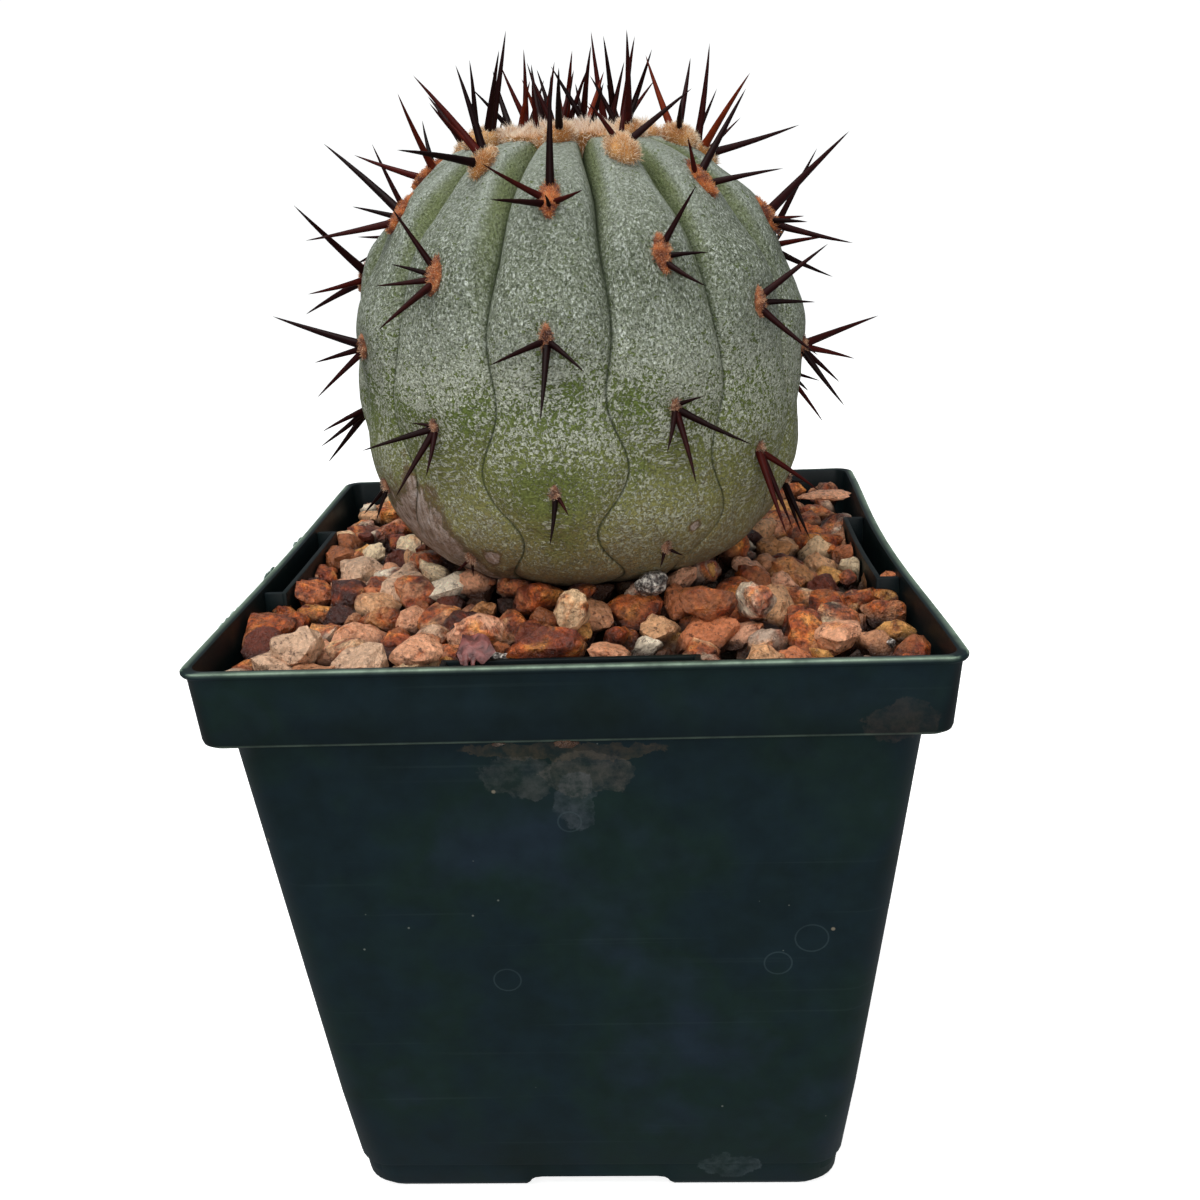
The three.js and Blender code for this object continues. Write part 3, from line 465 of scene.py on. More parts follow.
def skin_point(rib, share, s, lift=0.0, filled=False):
    """Places on the skin, for a share of -1 to 1 across a rib and lengths s down it. Lift is off the skin."""
    s = np.asarray(s, float)
    radius, height, out_r, out_z = profile_at(s)
    other, span = rib_span(rib, share)
    wander = 0.03 + 0.3 * smooth(45, 85, s)
    bearing = rib_bearing[rib] + abs(share) * span * (0.5 + 0.5 * wander * (swelling(rib, s) - swelling(other, s)))
    tubercle = 1.2 * smooth(12, 36, s) * (1 - smooth(78, 98, s))
    depth = np.minimum(0.5 + 3.7 * (1 - smooth(22, 68, s)), 0.27 * radius)
    steep = groove_power.get((rib, 1 if share >= 0 else -1), 3.6)
    groove = 0 if filled else depth * abs(share) ** (steep + (5 - steep) * smooth(25, 70, s))
    out = tubercle * (swelling(rib, s) - 0.5) * (1 - share ** 2) - groove + lift
    return np.stack([plant_x + (radius + out_r * out) * np.cos(bearing), (radius + out_r * out) * np.sin(bearing),
                     height + out_z * out], -1)


# Spines that stand plain in the front view, as (clock, lift, length): degrees clockwise from straight up the
# rib, degrees off the skin, and millimetres. Keys are the rib and the areole, numbered downwards.
front_spines = {
    (0, 2): [(4, 42, 14.5), (-88, 42, 10), (-132, 42, 10.5), (117, 42, 7), (175, 72, 4)],
    (0, 3): [(-115, 42, 9.3), (126, 42, 9), (179, 42, 12.8)],
    (0, 4): [(-174, 40, 7), (136, 42, 3.5)],
    (1, 2): [(-65, 44, 6.5), (22, 46, 5.8), (89, 42, 11.3)],
    (1, 3): [(35, 43, 9), (111, 42, 6), (162, 42, 8.8)],
    (1, 4): [(62, 42, 4), (120, 42, 11.6), (-175, 42, 11.5), (-140, 42, 7.8)],
    (1, 5): [(-150, 40, 2.6), (100, 40, 2.4)],
    (2, 2): [(54, 42, 14.5), (136, 44, 10.8), (-60, 48, 6.5)],
    (2, 3): [(54, 42, 12), (105, 42, 7.8), (172, 42, 11)],
    (2, 4): [(-150, 42, 14), (134, 42, 10.8), (-166, 42, 12.5)],
    (3, 2): [(79, 46, 22.5), (124, 42, 6), (-130, 42, 7), (184, 41, 12.5)],
    (3, 3): [(77, 42, 17), (111, 42, 11.7), (153, 42, 8.5), (-166, 38, 11)],
    (12, 2): [(-32, 50, 12.2), (-72, 46, 7), (-66, 46, 14.4), (-168, 43, 13.5)],
    (12, 3): [(-31, 42, 9.8), (-87, 42, 5.6), (-118, 42, 7.6), (-178, 42, 12)],
    (12, 4): [(-107, 42, 10.6), (-70, 42, 2.8), (-168, 42, 11), (157, 42, 7.5)],
    (12, 5): [(-115, 40, 3), (180, 40, 2.4)],
    (11, 2): [(-76, 44, 17.6), (-111, 42, 7.5), (-165, 41, 13.3)],
    (11, 3): [(-72, 42, 16.3), (-112, 42, 9), (-156, 42, 10.2)],
    (11, 4): [(-140, 42, 6.2), (170, 40, 5)],
    (10, 3): [(54, 42, 16.8), (122, 42, 10), (-146, 38, 14)],
    (10, 4): [(105, 42, 9.4), (122, 42, 10.5), (-148, 40, 14.5)],
    (0, 1): [(169, 47, 12), (-60, 62, 9)],
    (1, 1): [(44, 46, 12), (170, 55, 7)],
    (2, 1): [(-127, 65, 14.2), (-40, 60, 8)],
    (3, 1): [(22, 47, 12), (70, 55, 12.7), (-87, 40, 7)],
    (4, 1): [(-67, 64, 14.2), (150, 60, 8)],
    (4, 2): [(-17, 60, 14.3), (-77, 59, 13.2), (-159, 48, 14.2), (156, 42, 12)],
    (5, 1): [(-63, 64, 14.2), (-82, 58, 13), (100, 60, 8)],
    (5, 2): [(-40, 58, 13.8), (-80, 56, 12.5), (120, 50, 10)],
    (6, 1): [(-39, 62, 13.6), (150, 50, 9)],
    (7, 1): [(-5, 59, 13.2), (180, 60, 8)],
    (9, 2): [(-142, 62, 13), (20, 60, 12), (90, 50, 9)],
    (10, 1): [(-112, 50, 12.1), (60, 60, 8)],
    (10, 2): [(59, 57, 12.9), (-148, 52, 12.6), (-60, 50, 9)],
    (11, 1): [(37, 66, 14.4), (70, 57, 12.9), (110, 45, 7)],
    (12, 1): [(-48, 52, 12.5), (150, 60, 7)],
}


def habit_spines(phase, draw):
    """Elsewhere each areole follows the plant's habit: one strong spine up, a pair to the sides, one down."""
    def between(low, high):
        return low + (high - low) * draw()

    def turned(clock):
        return clock + between(-14, 14)

    side = -1 if draw() < 0.5 else 1
    if phase < 1.3:
        return [(between(-60, 60), between(60, 74), between(8, 12)), (turned(180), between(60, 74), between(8, 11))]
    if phase < 2.3:
        return [(between(-30, 30), between(58, 72), between(12, 16)),
                (side * between(70, 110), between(50, 62), between(9, 12)),
                (-side * between(70, 110), between(50, 62), between(8, 11))]
    if phase < 4:
        return [(turned(side * 35), between(40, 50), between(12, 17)),
                (turned(side * 112), between(38, 45), between(7, 10)),
                (turned(-side * 95), between(38, 45), between(7, 10)),
                (turned(180), between(38, 44), between(10, 13))]
    if phase < 5:
        return [(turned(side * 125), between(38, 44), between(9, 11.5)),
                (turned(-side * 100), between(38, 44), between(4, 8)),
                (turned(180), between(38, 44), between(8, 12))]
    return [(turned(side * 140), 40, between(3, 4.5)), (turned(180), 40, between(2.5, 4))]


drawn_last = 20611


def draw():
    """The same small sequence of random numbers as the part's source draws."""
    global drawn_last
    drawn_last = drawn_last * 16807 % 2147483647
    return drawn_last / 2147483647


areoles = []
for rib in range(rib_count):
    for number in range(6):
        phase = rib_phase[rib] + number
        s = length_at(phase)
        if phase < 0.75 or s > body_length - 16:
            continue
        drawn = habit_spines(phase, draw)
        age = float(smooth(2.6, 4.4, phase))
        radius, height, out_r, out_z = (float(v) for v in profile_at(s))
        outward = np.array([math.cos(rib_bearing[rib]), math.sin(rib_bearing[rib]), 0])
        areoles.append({
            "rib": rib, "s": s, "spines": front_spines.get((rib, number), drawn),
            "woolly": s < wool_reach, "size": (1.9 - age, 3.6 - 2.2 * age), "age": age,
            "place": skin_point(rib, 0, s), "out": outward * out_r + np.array([0, 0, out_z]),
            "up": -outward * out_z + np.array([0, 0, out_r]),
            "right": np.array([-outward[1], outward[0], 0]),
        })

# ---------------------------------------------------------------- the gravel
# Top dressing of crushed granite, 4 to 8 mm, poured over the potting mix up to the rim. It is broken rock:
# blunt-edged lumps of tan, pink, rust and grey, with dark gaps between them and a bed of its own fines.


def bed_height(x, y):
    return rim_height - 3.6 - 1.4 * np.minimum(np.maximum(abs(x), abs(y)) / rim_half, 1)


def surface_height(x, y):
    """The gravel lies a little heaped towards the plant."""
    return bed_height(x, y) + 4.2 * (1 - smooth(24, 35, np.hypot(x - plant_x, y)))


def foot_radius(z):
    """How far the plant reaches at a height, low on its body."""
    low = trace_s > 60
    return np.interp(-np.asarray(z), -trace_z[low], trace_r[low])


def keep_clear(piece):
    """Presses stones flat against the pot's inside and the plant, where they would cross them."""
    points = points_of(piece)
    for axis in (0, 1):
        other = points[:, 1 - axis]
        in_band, in_cup, at_tab, tab_half = 51.6, 48.5, 48.3, 18.3
        limit = np.where(points[:, 2] > 90.8, np.where(abs(other) < tab_half, at_tab, in_band), in_cup)
        sagged = np.where(points[:, axis] > 0, (sag_right, sag_usual)[axis], (sag_usual, 0)[axis])
        limit = limit - sagged * (1 - (other / rim_half) ** 2) ** 2
        points[:, axis] = np.clip(points[:, axis], -limit, limit)
    away = points[:, :2] - [plant_x, 0]
    reach = np.hypot(*away.T)
    need = foot_radius(points[:, 2]) + 0.15
    push = np.where(reach < need, need / np.maximum(reach, 1e-6), 1)
    points[:, :2] = [plant_x, 0] + away * push[:, None]
    piece.data.vertices.foreach_set("co", (points / 1000).astype(np.float32).ravel())
    piece.data.update()


def shade_gaps(piece):
    """Marks how deep each point lies among the stones and how near it is to the plant's foot, for painted shade in
    the gaps and a painted shadow by the foot.
    """
    points = points_of(piece)
    deep = (surface_height(points[:, 0], points[:, 1]) + 2.8 - points[:, 2]) / 3.6
    near = np.hypot(points[:, 0] - plant_x, points[:, 1]) - foot_radius(points[:, 2])
    deep = deep + 0.6 * (1 - smooth(0, 3, near))
    mark(piece, "damp", np.clip(deep, 0, 1))


# The bed of fines that closes the gaps from below. Its near-black colour is partly painted shade for the gaps.
rings = []
for share in (0, 0.08, 0.3, 0.55, 0.8, 1):
    outer = rounded_square(47.2, 3, 0)
    inner = np.array([plant_x, 0, 0]) + outer / np.hypot(outer[:, 0], outer[:, 1])[:, None] * 14.8
    ring = inner + (outer - inner) * share
    ring[:, 2] = bed_height(ring[:, 0], ring[:, 1]) - 4.2
    rings.append(ring)
bed = new_piece("gravel_fines", *loft([rings[0] - [0, 0, 3], *rings, rings[-1] - [0, 0, 3]], closed=False))
count = len(rings[0])
outer_low, inner_low = (len(rings) + 1) * count, 0
body = bmesh.new()
body.from_mesh(bed.data)
body.verts.ensure_lookup_table()
for i in range(count):
    j = (i + 1) % count
    body.faces.new([body.verts[k] for k in (outer_low + i, outer_low + j, inner_low + j, inner_low + i)])
bmesh.ops.recalc_face_normals(body, faces=body.faces)
body.to_mesh(bed.data)
body.free()
shade(bed, 60)


def broken_stone(name, chance, breadth, depth):
    """A lump bounded by random break planes, with its edges worn round. Its half length is about 1 mm."""
    ball = bmesh.new()
    bmesh.ops.create_icosphere(ball, subdivisions=3, radius=1)
    planes = chance.normal(size=(13, 3))
    planes /= np.linalg.norm(planes, axis=1)[:, None]
    distances = chance.uniform(0.62, 0.92, 13)
    offset = Vector(chance.uniform(-50, 50, 3))
    for vert in ball.verts:
        way = np.array(vert.co.normalized())
        reach = (np.maximum(planes @ way, 0.02) / distances) ** 22
        size = min(reach.sum() ** (-1 / 22), 1.05)
        size *= 1 + 0.14 * noise.noise(Vector(way) * 2.3 + offset) + 0.13 * noise.noise(Vector(way) * 5.3 + offset)
        vert.co = Vector(way * size * [1.15, 1.15 * breadth, 1.15 * depth]) / 1000
    stone = bpy.data.objects.new(name, bpy.data.meshes.new(name))
    ball.to_mesh(stone.data)
    ball.free()
    shade(stone, 32)
    return stone


chance = np.random.default_rng(4051)
stones = bpy.data.collections.new("stones")
for k in range(26):
    stones.objects.link(broken_stone(f"stone_{k}", chance, chance.uniform(0.68, 0.95), chance.uniform(0.55, 0.8)))


def node_group(name, inputs):
    """A Geometry Nodes tree with named inputs after its geometry, and the identifier of each input."""
    tree = bpy.data.node_groups.new(name, "GeometryNodeTree")
    tree.interface.new_socket("Geometry", in_out="INPUT", socket_type="NodeSocketGeometry")
    tree.interface.new_socket("Geometry", in_out="OUTPUT", socket_type="NodeSocketGeometry")
    names = {}
    for label, kind in inputs:
        socket = tree.interface.new_socket(label, in_out="INPUT", socket_type="NodeSocket" + kind)
        names[label] = socket.identifier
    return tree, names, tree.nodes.new("NodeGroupInput").outputs


def end_group(tree, spread, material, tint=None):
    """Turns a tree's instances into a mesh of their own, each with its own tint if there is one."""
    if tint is not None:
        spread = add(tree, "GeometryNodeStoreNamedAttribute", Geometry=spread, Name="tint", Value=tint,
                     data_type="FLOAT", domain="INSTANCE")
    spread = add(tree, "GeometryNodeRealizeInstances", Geometry=spread)
    spread = add(tree, "GeometryNodeSetMaterial", Geometry=spread, Material=material)
    add(tree, "NodeGroupOutput", spread)


def run_group(piece, tree, names, **values):
    """Runs a tree on a piece, with a value for each of its named inputs, and keeps the mesh that it makes."""
    step = piece.modifiers.new(tree.name, "NODES")
    step.node_group = tree
    for label, value in values.items():
        step[names[label]] = value
    settle(piece)


# Scatters the stones over a bed: Poisson spacing, any way up, each with its own size and its own tint.
pour, pour_inputs, given = node_group("Pour stones", [
    ("Stones", "Collection"), ("Spacing", "Float"), ("Smallest", "Float"), ("Largest", "Float"),
    ("Unevenness", "Float"), ("Seed", "Int"), ("Material", "Material")])
spots = add(pour, "GeometryNodeDistributePointsOnFaces", Mesh=given["Geometry"], Distance_Min=given["Spacing"],
            Density_Max=150000, Seed=given["Seed"], distribute_method="POISSON")
lowest = add(pour, "Math", given["Unevenness"], -1, operation="MULTIPLY")
shift = add(pour, "FunctionNodeRandomValue", lowest, given["Unevenness"], Seed=11, data_type="FLOAT")
shift = add(pour, "CombineXYZ", Z=shift)
spots = add(pour, "GeometryNodeSetPosition", Geometry=spots, Offset=shift)
kind = add(pour, "FunctionNodeRandomValue", 0, 25, Seed=12, data_type="INT")
turn = add(pour, "FunctionNodeRandomValue", (-0.7, -0.7, 0), (0.7, 0.7, 6.28), Seed=13, data_type="FLOAT_VECTOR")
size = add(pour, "FunctionNodeRandomValue", given["Smallest"], given["Largest"], Seed=14, data_type="FLOAT")
pool = add(pour, "GeometryNodeCollectionInfo", given["Stones"], True, True)
lumps = add(pour, "GeometryNodeInstanceOnPoints", Points=spots, Instance=pool, Pick_Instance=True,
            Instance_Index=kind, Rotation=turn, Scale=size)
tint = add(pour, "FunctionNodeRandomValue", 0.0, 1.0, Seed=15, data_type="FLOAT")
end_group(pour, lumps, given["Material"], tint)

# Crushed granite. Every lump has its own tint, with milky and rust-stained parts running through it, fine
# crystals, dark pits and worn edges. Broken faces are dull with a faint mineral shine.
crushed_granite, tree, shader, place = new_material("crushed_granite")
tint = add(tree, "Attribute", attribute_name="tint").outputs["Fac"]
own = add(tree, "VectorMath", tint, (3, 7, 5), place, operation="MULTIPLY_ADD")
granites = ["#dfa87a", "#f3d8b0", "#c08660", "#c9ae98", "#e4a37c", "#9a5a34", "#f8e6ca", "#662c1a", "#d69a54",
            "#d8b090", "#cc7a4e", "#3f1c14", "#ecc498", "#c08452", "#bda28a", "#e8aa86"]
colour = add(tree, "ValToRGB", tint, stops=[(k / 16, code) for k, code in enumerate(granites)])
colour.color_ramp.interpolation = "CONSTANT"
other = add(tree, "Math", tint, 37.0, operation="MULTIPLY")
other = add(tree, "Math", other, operation="FRACT")
# Iron has stained each lump from its cracks inwards, some through and through and some hardly at all.
stain = add(tree, "TexNoise", Vector=own, Scale=250, Detail=5, Roughness=0.55)
stain = add(tree, "ValToRGB", stain, stops=[(0.36, "#3c1408"), (0.45, "#7e3010"), (0.54, "#b2561c"),
                                            (0.66, "#d98e44")])
blotch = add(tree, "TexNoise", Vector=own, Scale=210, Detail=5, Roughness=0.6, Distortion=0.5)
reach = add(tree, "Math", other, 0.32, blotch, operation="MULTIPLY_ADD")
rusty = add(tree, "MapRange", reach, 0.59, 0.82, 0, 0.94, interpolation_type="SMOOTHSTEP")
colour = add(tree, "Mix", rusty, colour, stain, **MIX)
rugged = add(tree, "TexNoise", Vector=own, Scale=1300, Detail=4, Roughness=0.7)
# One stone in seventy is black mica and white feldspar.
salted = add(tree, "Math", tint, 0.22, 0.007, operation="COMPARE")
salt = add(tree, "ValToRGB", rugged, stops=[(0.42, "#2b2725"), (0.52, "#8b837c"), (0.62, "#d9d2c6")])
colour = add(tree, "Mix", salted, colour, salt, **MIX)
speckled = add(tree, "MapRange", rugged, 0.36, 0.62, 0.25, 1.7)
some = add(tree, "Math", rusty, 0.6, 0.3, operation="MULTIPLY_ADD")
colour = add(tree, "Mix", some, colour, speckled, blend_type="MULTIPLY", **MIX)
crystal = add(tree, "TexVoronoi", Vector=own, Scale=1700)
shine = add(tree, "MapRange", crystal.outputs["Color"], 0, 1, 0.8, 1.25)
colour = add(tree, "Mix", 1, colour, shine, blend_type="MULTIPLY", **MIX)
pits = add(tree, "TexNoise", Vector=own, Scale=1000, Detail=5, Roughness=0.75)
pit = add(tree, "MapRange", pits, 0.56, 0.64, 0, 0.8)
colour = add(tree, "Mix", pit, colour, tone("#3b1a10"), **MIX)
# Painted shade: stones darken low down among the others and next to the plant's foot.
damp = add(tree, "Attribute", attribute_name="damp").outputs["Fac"]
damp = add(tree, "MapRange", damp, 0.2, 0.85, 0, 0.93, interpolation_type="SMOOTHSTEP")
colour = add(tree, "Mix", damp, colour, tone("#260e07"), **MIX)
broken = add(tree, "TexNoise", Vector=own, Scale=420, Detail=7, Roughness=0.62)
bump = add(tree, "Bump", Strength=1.0, Distance=0.0018, Height=broken)
rough = add(tree, "MapRange", crystal.outputs["Color"], 0, 1, 0.2, 0.55)
feed(tree, shader, {"Base Color": colour, "Roughness": rough, "Normal": bump, "IOR": 1.54})

# Fines: the mud and grit that has washed down between the stones, coloured near black as painted shade in the gaps.
granite_fines, tree, shader, place = new_material("granite_fines")
grit = add(tree, "TexVoronoi", Vector=place, Scale=900)
colour = add(tree, "ValToRGB", grit.outputs["Color"], stops=[(0.1, "#1c0b06"), (0.9, "#3d2014")])
feed(tree, shader, {"Base Color": colour, "Roughness": 0.95})
bed.data.materials.append(granite_fines)

layers = []
for name, inner, lift, spacing, smallest, largest, uneven, seed in (
        ("gravel_low", 17.5, -2.2, 0.0048, 2.4, 3.4, 0.0008, 3),
        ("gravel_top", 24, 0.4, 0.0051, 2.5, 4.7, 0.0009, 5),
        ("gravel_chips", 24, 1.2, 0.0105, 1.0, 2.0, 0.0009, 8)):
    outer = rounded_square(49.2 if name == "gravel_top" else 46.2, 3, 0)
    start = np.array([plant_x, 0, 0]) + outer / np.hypot(outer[:, 0], outer[:, 1])[:, None] * inner
    rings = [start + (outer - start) * share for share in (0, 0.12, 0.25, 0.4, 0.6, 0.8, 1)]
    for ring in rings:
        ring[:, 2] = surface_height(ring[:, 0], ring[:, 1]) + lift
    layer = new_piece(name, *loft(rings[::-1], closed=False))
    run_group(layer, pour, pour_inputs, Stones=stones, Spacing=spacing, Smallest=smallest, Largest=largest,
              Unevenness=uneven, Seed=seed, Material=crushed_granite)
    keep_clear(layer)
    shade_gaps(layer)
    layers.append(layer)
# Stones that the eye picks out: middle, half length, breadth, depth, turn and tint. A round one lies
# against the plant's foot, one has fallen into the right-hand label pocket, and a thin flake lies on top.
picked, tints = [], []
for middle, half, breadth, depth, turned, tint in (
        ((11.5, -26.9, 104.3), 2.3, 0.95, 0.9, 0.3, 0.22), ((50.4, -14.5, 99.2), 1.9, 0.8, 0.8, 1.4, 0.64),
        ((44.0, 21.5, 104.2), 4.6, 0.6, 0.14, 0.15, 0.28), ((19.5, -33.0, 102.8), 3.9, 0.8, 0.62, 0.2, 0.34),
        ((27.0, -32.5, 102.6), 3.8, 0.6, 0.7, 1.9, 0.40), ((-4.0, -46.0, 101.6), 4.8, 0.62, 0.5, 0.1, 0.4473),
        ((-0.5, -36.0, 103.0), 3.3, 0.66, 0.9, 1.2, 0.77), ((-21.5, -46.0, 101.2), 3.6, 0.8, 0.7, 0.1, 0.28),
        ((-13.5, -43.2, 103.0), 4.3, 0.62, 0.5, 0.1, 0.96), ((-39.5, -41.5, 100.8), 3.9, 0.8, 0.65, 0.4, 0.60),
        ((38.0, -43.5, 101.0), 3.5, 0.8, 0.7, 0.9, 0.28),
        # Two crumbs that cling under the edge of the rim band.
        ((-0.9, -52.5, 89.5), 1.5, 0.35, 0.4, 0.05, 0.03), ((-10.4, -52.5, 89.6), 0.9, 0.3, 0.3, 0.1, 0.40)):
    stone = broken_stone("picked", chance, breadth, depth)
    points = points_of(stone) * half
    x, y = points[:, 0].copy(), points[:, 1].copy()
    points[:, 0] = x * math.cos(turned) - y * math.sin(turned)
    points[:, 1] = x * math.sin(turned) + y * math.cos(turned)
    stone.data.vertices.foreach_set("co", ((points + middle) / 1000).ravel())
    bpy.context.scene.collection.objects.link(stone)
    picked.append(stone)
    tints += [tint] * len(points)
join(picked[0], *picked[1:])
picked = picked[0]
picked.name = "gravel_picked"
mark(picked, "tint", tints)
shade(picked, 32)
shade_gaps(picked)
picked.data.materials.append(crushed_granite)
layers.append(picked)
for stone in list(stones.objects):
    bpy.data.objects.remove(stone)
bpy.data.collections.remove(stones)
# A pink scrap of dried petal lies over the front label pocket, with two tips hanging into it. Each limb is a
# row of rings: y, z and x of the middle, half width and half thickness.
limbs = []
scrap = [(-45.6, 103.2, -13.4, 0.5, 0.3), (-46.8, 103.2, -13.4, 1.8, 0.4), (-48.4, 102.6, -13.2, 2.6, 0.45),
         (-49.8, 101.9, -13.2, 2.7, 0.4), (-50.6, 101.4, -13.4, 1.5, 0.25)]
left_tip = [(-50.0, 101.8, -14.2, 0.5, 0.2), (-51.2, 101.2, -14.2, 0.35, 0.2), (-51.8, 100.2, -14.0, 0.12, 0.1)]
right_tip = [(-50.0, 101.8, -13.1, 0.5, 0.2), (-51.2, 101.3, -13.2, 0.35, 0.2), (-51.8, 100.0, -13.3, 0.12, 0.1)]
for tilt, steps in enumerate((scrap, left_tip, right_tip)):
    rings = []
    for y, z, x, wide, thick in steps:
        ring = []
        for k in range(12):
            a = k * math.pi / 6
            reach = 1 + 0.3 * noise.noise(Vector((math.cos(a) * 1.7 + tilt, math.sin(a) * 1.7, y * 0.6)))
            crumple = 0.5 * math.cos(2.2 * math.cos(a) * wide + y)
            ring.append((x + wide * reach * math.cos(a), y, z + thick * reach * math.sin(a) + crumple * min(wide, 1)))
        rings.append(np.array(ring))
    limbs.append(new_piece("petal_scrap", *loft(rings[::-1])))
petal = limbs[0]
join(petal, *limbs[1:])
shade(petal, 60)
# A dried petal: thin, leathery and mauve-pink, crumpled along its veins.
dried_petal, tree, shader, place = new_material("dried_petal")
veins = add(tree, "TexNoise", Vector=place, Scale=700, Detail=4, Distortion=0.5)
colour = add(tree, "ValToRGB", veins, stops=[(0.35, "#4a2220"), (0.65, "#8c4f4a")])
bump = add(tree, "Bump", Strength=0.8, Distance=0.0005, Height=veins)
feed(tree, shader, {"Base Color": colour, "Roughness": 0.5, "Normal": bump})
petal.data.materials.append(dried_petal)
layers.append(petal)
for piece in (bed, *layers):
    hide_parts("gravel")
    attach(piece, "root")

# ---------------------------------------------------------------- the skin
# The living skin: firm green flesh under a bloom of grey wax. The wax is whole and finely wrinkled on the
# upper ribs, cracks into flakes over green skin lower down, and is corky and brown where the plant has aged.

steps = np.linspace(-1, 1, 29)[:-1]
shares = 1.5 * steps - 0.5 * steps ** 3
rows = body_length * np.linspace(0, 1, 215)[1:] ** 1.03
columns = []
marks = {name: [] for name in ("crease", "down", "flank", "ridge", "below", "above", "bare", "cork")}
# How wide the green flank of a groove is, in millimetres, and how far down it reaches: rib and side.
flanks = {(12, 1): (3.4, 52), (11, 1): (3.4, 54), (10, 1): (3.4, 54), (0, -1): (1.4, 36), (0, 1): (1.1, 32),
          (1, -1): (2.0, 44), (1, 1): (3.0, 52), (2, -1): (1.8, 50), (2, 1): (3.0, 52), (12, -1): (1.6, 44)}
# Where the wax is rubbed off or cork has formed: rib, share across it, length down, half width in ribs,
# half height in millimetres, strength.
patches = {
    "bare": [(0, 0.4, 58, 0.1, 2, 1), (0, -0.35, 59, 0.08, 1.6, 0.8), (1, -0.6, 61, 0.12, 3, 1),
             (12, 0.6, 62, 0.14, 3, 1), (1, -0.8, 70, 0.12, 4, 0.8), (0, 0.05, 69, 0.1, 2.2, 1),
             (12, -0.8, 64, 0.3, 7, 0.6), (11, -0.4, 64, 0.35, 7, 0.8), (0, 0.3, 64, 0.4, 6, 0.4),
             (0, 0.1, 62, 0.5, 9, 0.5), (5, 0.2, 62, 0.5, 6, 0.6), (8, -0.3, 58, 0.4, 6, 0.7),
             (0, 0.6, 76, 0.3, 4, 0.5), (0, 0, 81, 0.5, 8, 0.7), (0, -0.1, 73, 0.45, 6, 1.0)],
    "cork": [(12, -1, 87, 0.5, 12, 1.25), (11, 0.3, 84, 0.3, 9, 0.9), (12, -0.3, 95, 0.35, 5, 1.1),
             (12, 0.5, 93, 0.7, 7, 0.42), (12, 0.5, 85, 0.09, 2.2, 0.9), (12, 0.1, 91, 0.2, 4, 0.7),
             (11, 0.9, 73, 0.1, 3, 0.5), (1, 0.4, 80, 0.06, 1.2, 0.7), (7, 0.0, 84, 0.4, 7, 0.9)],
}
for rib in range(rib_count):
    own = [a for a in areoles if a["rib"] == rib]
    for share in shares:
        points = skin_point(rib, share, rows)
        radius = profile_at(rows)[0]
        other, span = rib_span(rib, share)
        half = radius * abs(span) / 2
        crease = (1 - abs(share)) * half
        wide, end = flanks.get((rib, 1 if share >= 0 else -1), (2.6, 50))
        wide, fading = np.minimum(wide, 0.6 * half), 1 - smooth(end - 24, end, rows)
        marks["flank"].append((1 - smooth(0.5 * wide, wide, crease)) * fading)
        ridge = np.exp(-((crease - wide - 0.4) / 0.5) ** 2)
        marks["ridge"].append(ridge * fading * (0.45 + 0.55 * smooth(1.6, 2.6, wide)))
        below, above = np.zeros(len(rows)), np.zeros(len(rows))
        sideways = share * radius * abs(span) / 2
        for a in own:
            below += a["age"] * np.exp(-((rows - a["s"] - 6) / 4) ** 2 - (sideways / 4.5) ** 2)
            above += a["age"] * np.exp(-((rows - a["s"] + 5) / 4.5) ** 2 - (sideways / 4) ** 2)
            dimple = 0.55 * np.exp(-((rows - a["s"]) / 2.6) ** 2 - (sideways / 2.2) ** 2)
            dimple = dimple - 0.55 * a["age"] * np.exp(-((rows - a["s"] - 5.5) / 3.2) ** 2 - (sideways / 3.6) ** 2)
            dimple = dimple * (0.4 + 0.6 * a["age"])
            inward = np.array([plant_x, 0, equator]) - points
            points = points + inward / np.linalg.norm(inward, axis=1)[:, None] * dimple[:, None]
        # Low on the body the grooves are no more than sharp creases.
        crisp = 0.22 * smooth(30, 60, rows) * (1 - smooth(92, 100, rows)) * np.exp(-crease / 0.3)
        swells = [0.28 * noise.noise(Vector(point * [0.16, 0.16, 0.1])) for point in points]
        ripples = [0.1 * noise.noise(Vector(point * 0.5)) for point in points]
        uneven = (np.array(swells) + ripples) * smooth(10, 30, rows)
        outward = points - [plant_x, 0, equator]
        points = points - outward / np.linalg.norm(outward, axis=1)[:, None] * (crisp + uneven)[:, None]
        columns.append(points)
        marks["crease"].append(crease)
        marks["down"].append(rows)
        marks["below"].append(below)
        marks["above"].append(above)
        for name in ("bare", "cork"):
            amount = np.zeros(len(rows))
            for at_rib, at_share, at_s, wide, tall, strength in patches[name]:
                gap = (rib + share / 2) - (at_rib + at_share / 2)
                gap = (gap + rib_count / 2) % rib_count - rib_count / 2
                amount = np.maximum(amount, strength * np.exp(-(gap / wide) ** 2 - ((rows - at_s) / tall) ** 2))
            marks[name].append(amount)

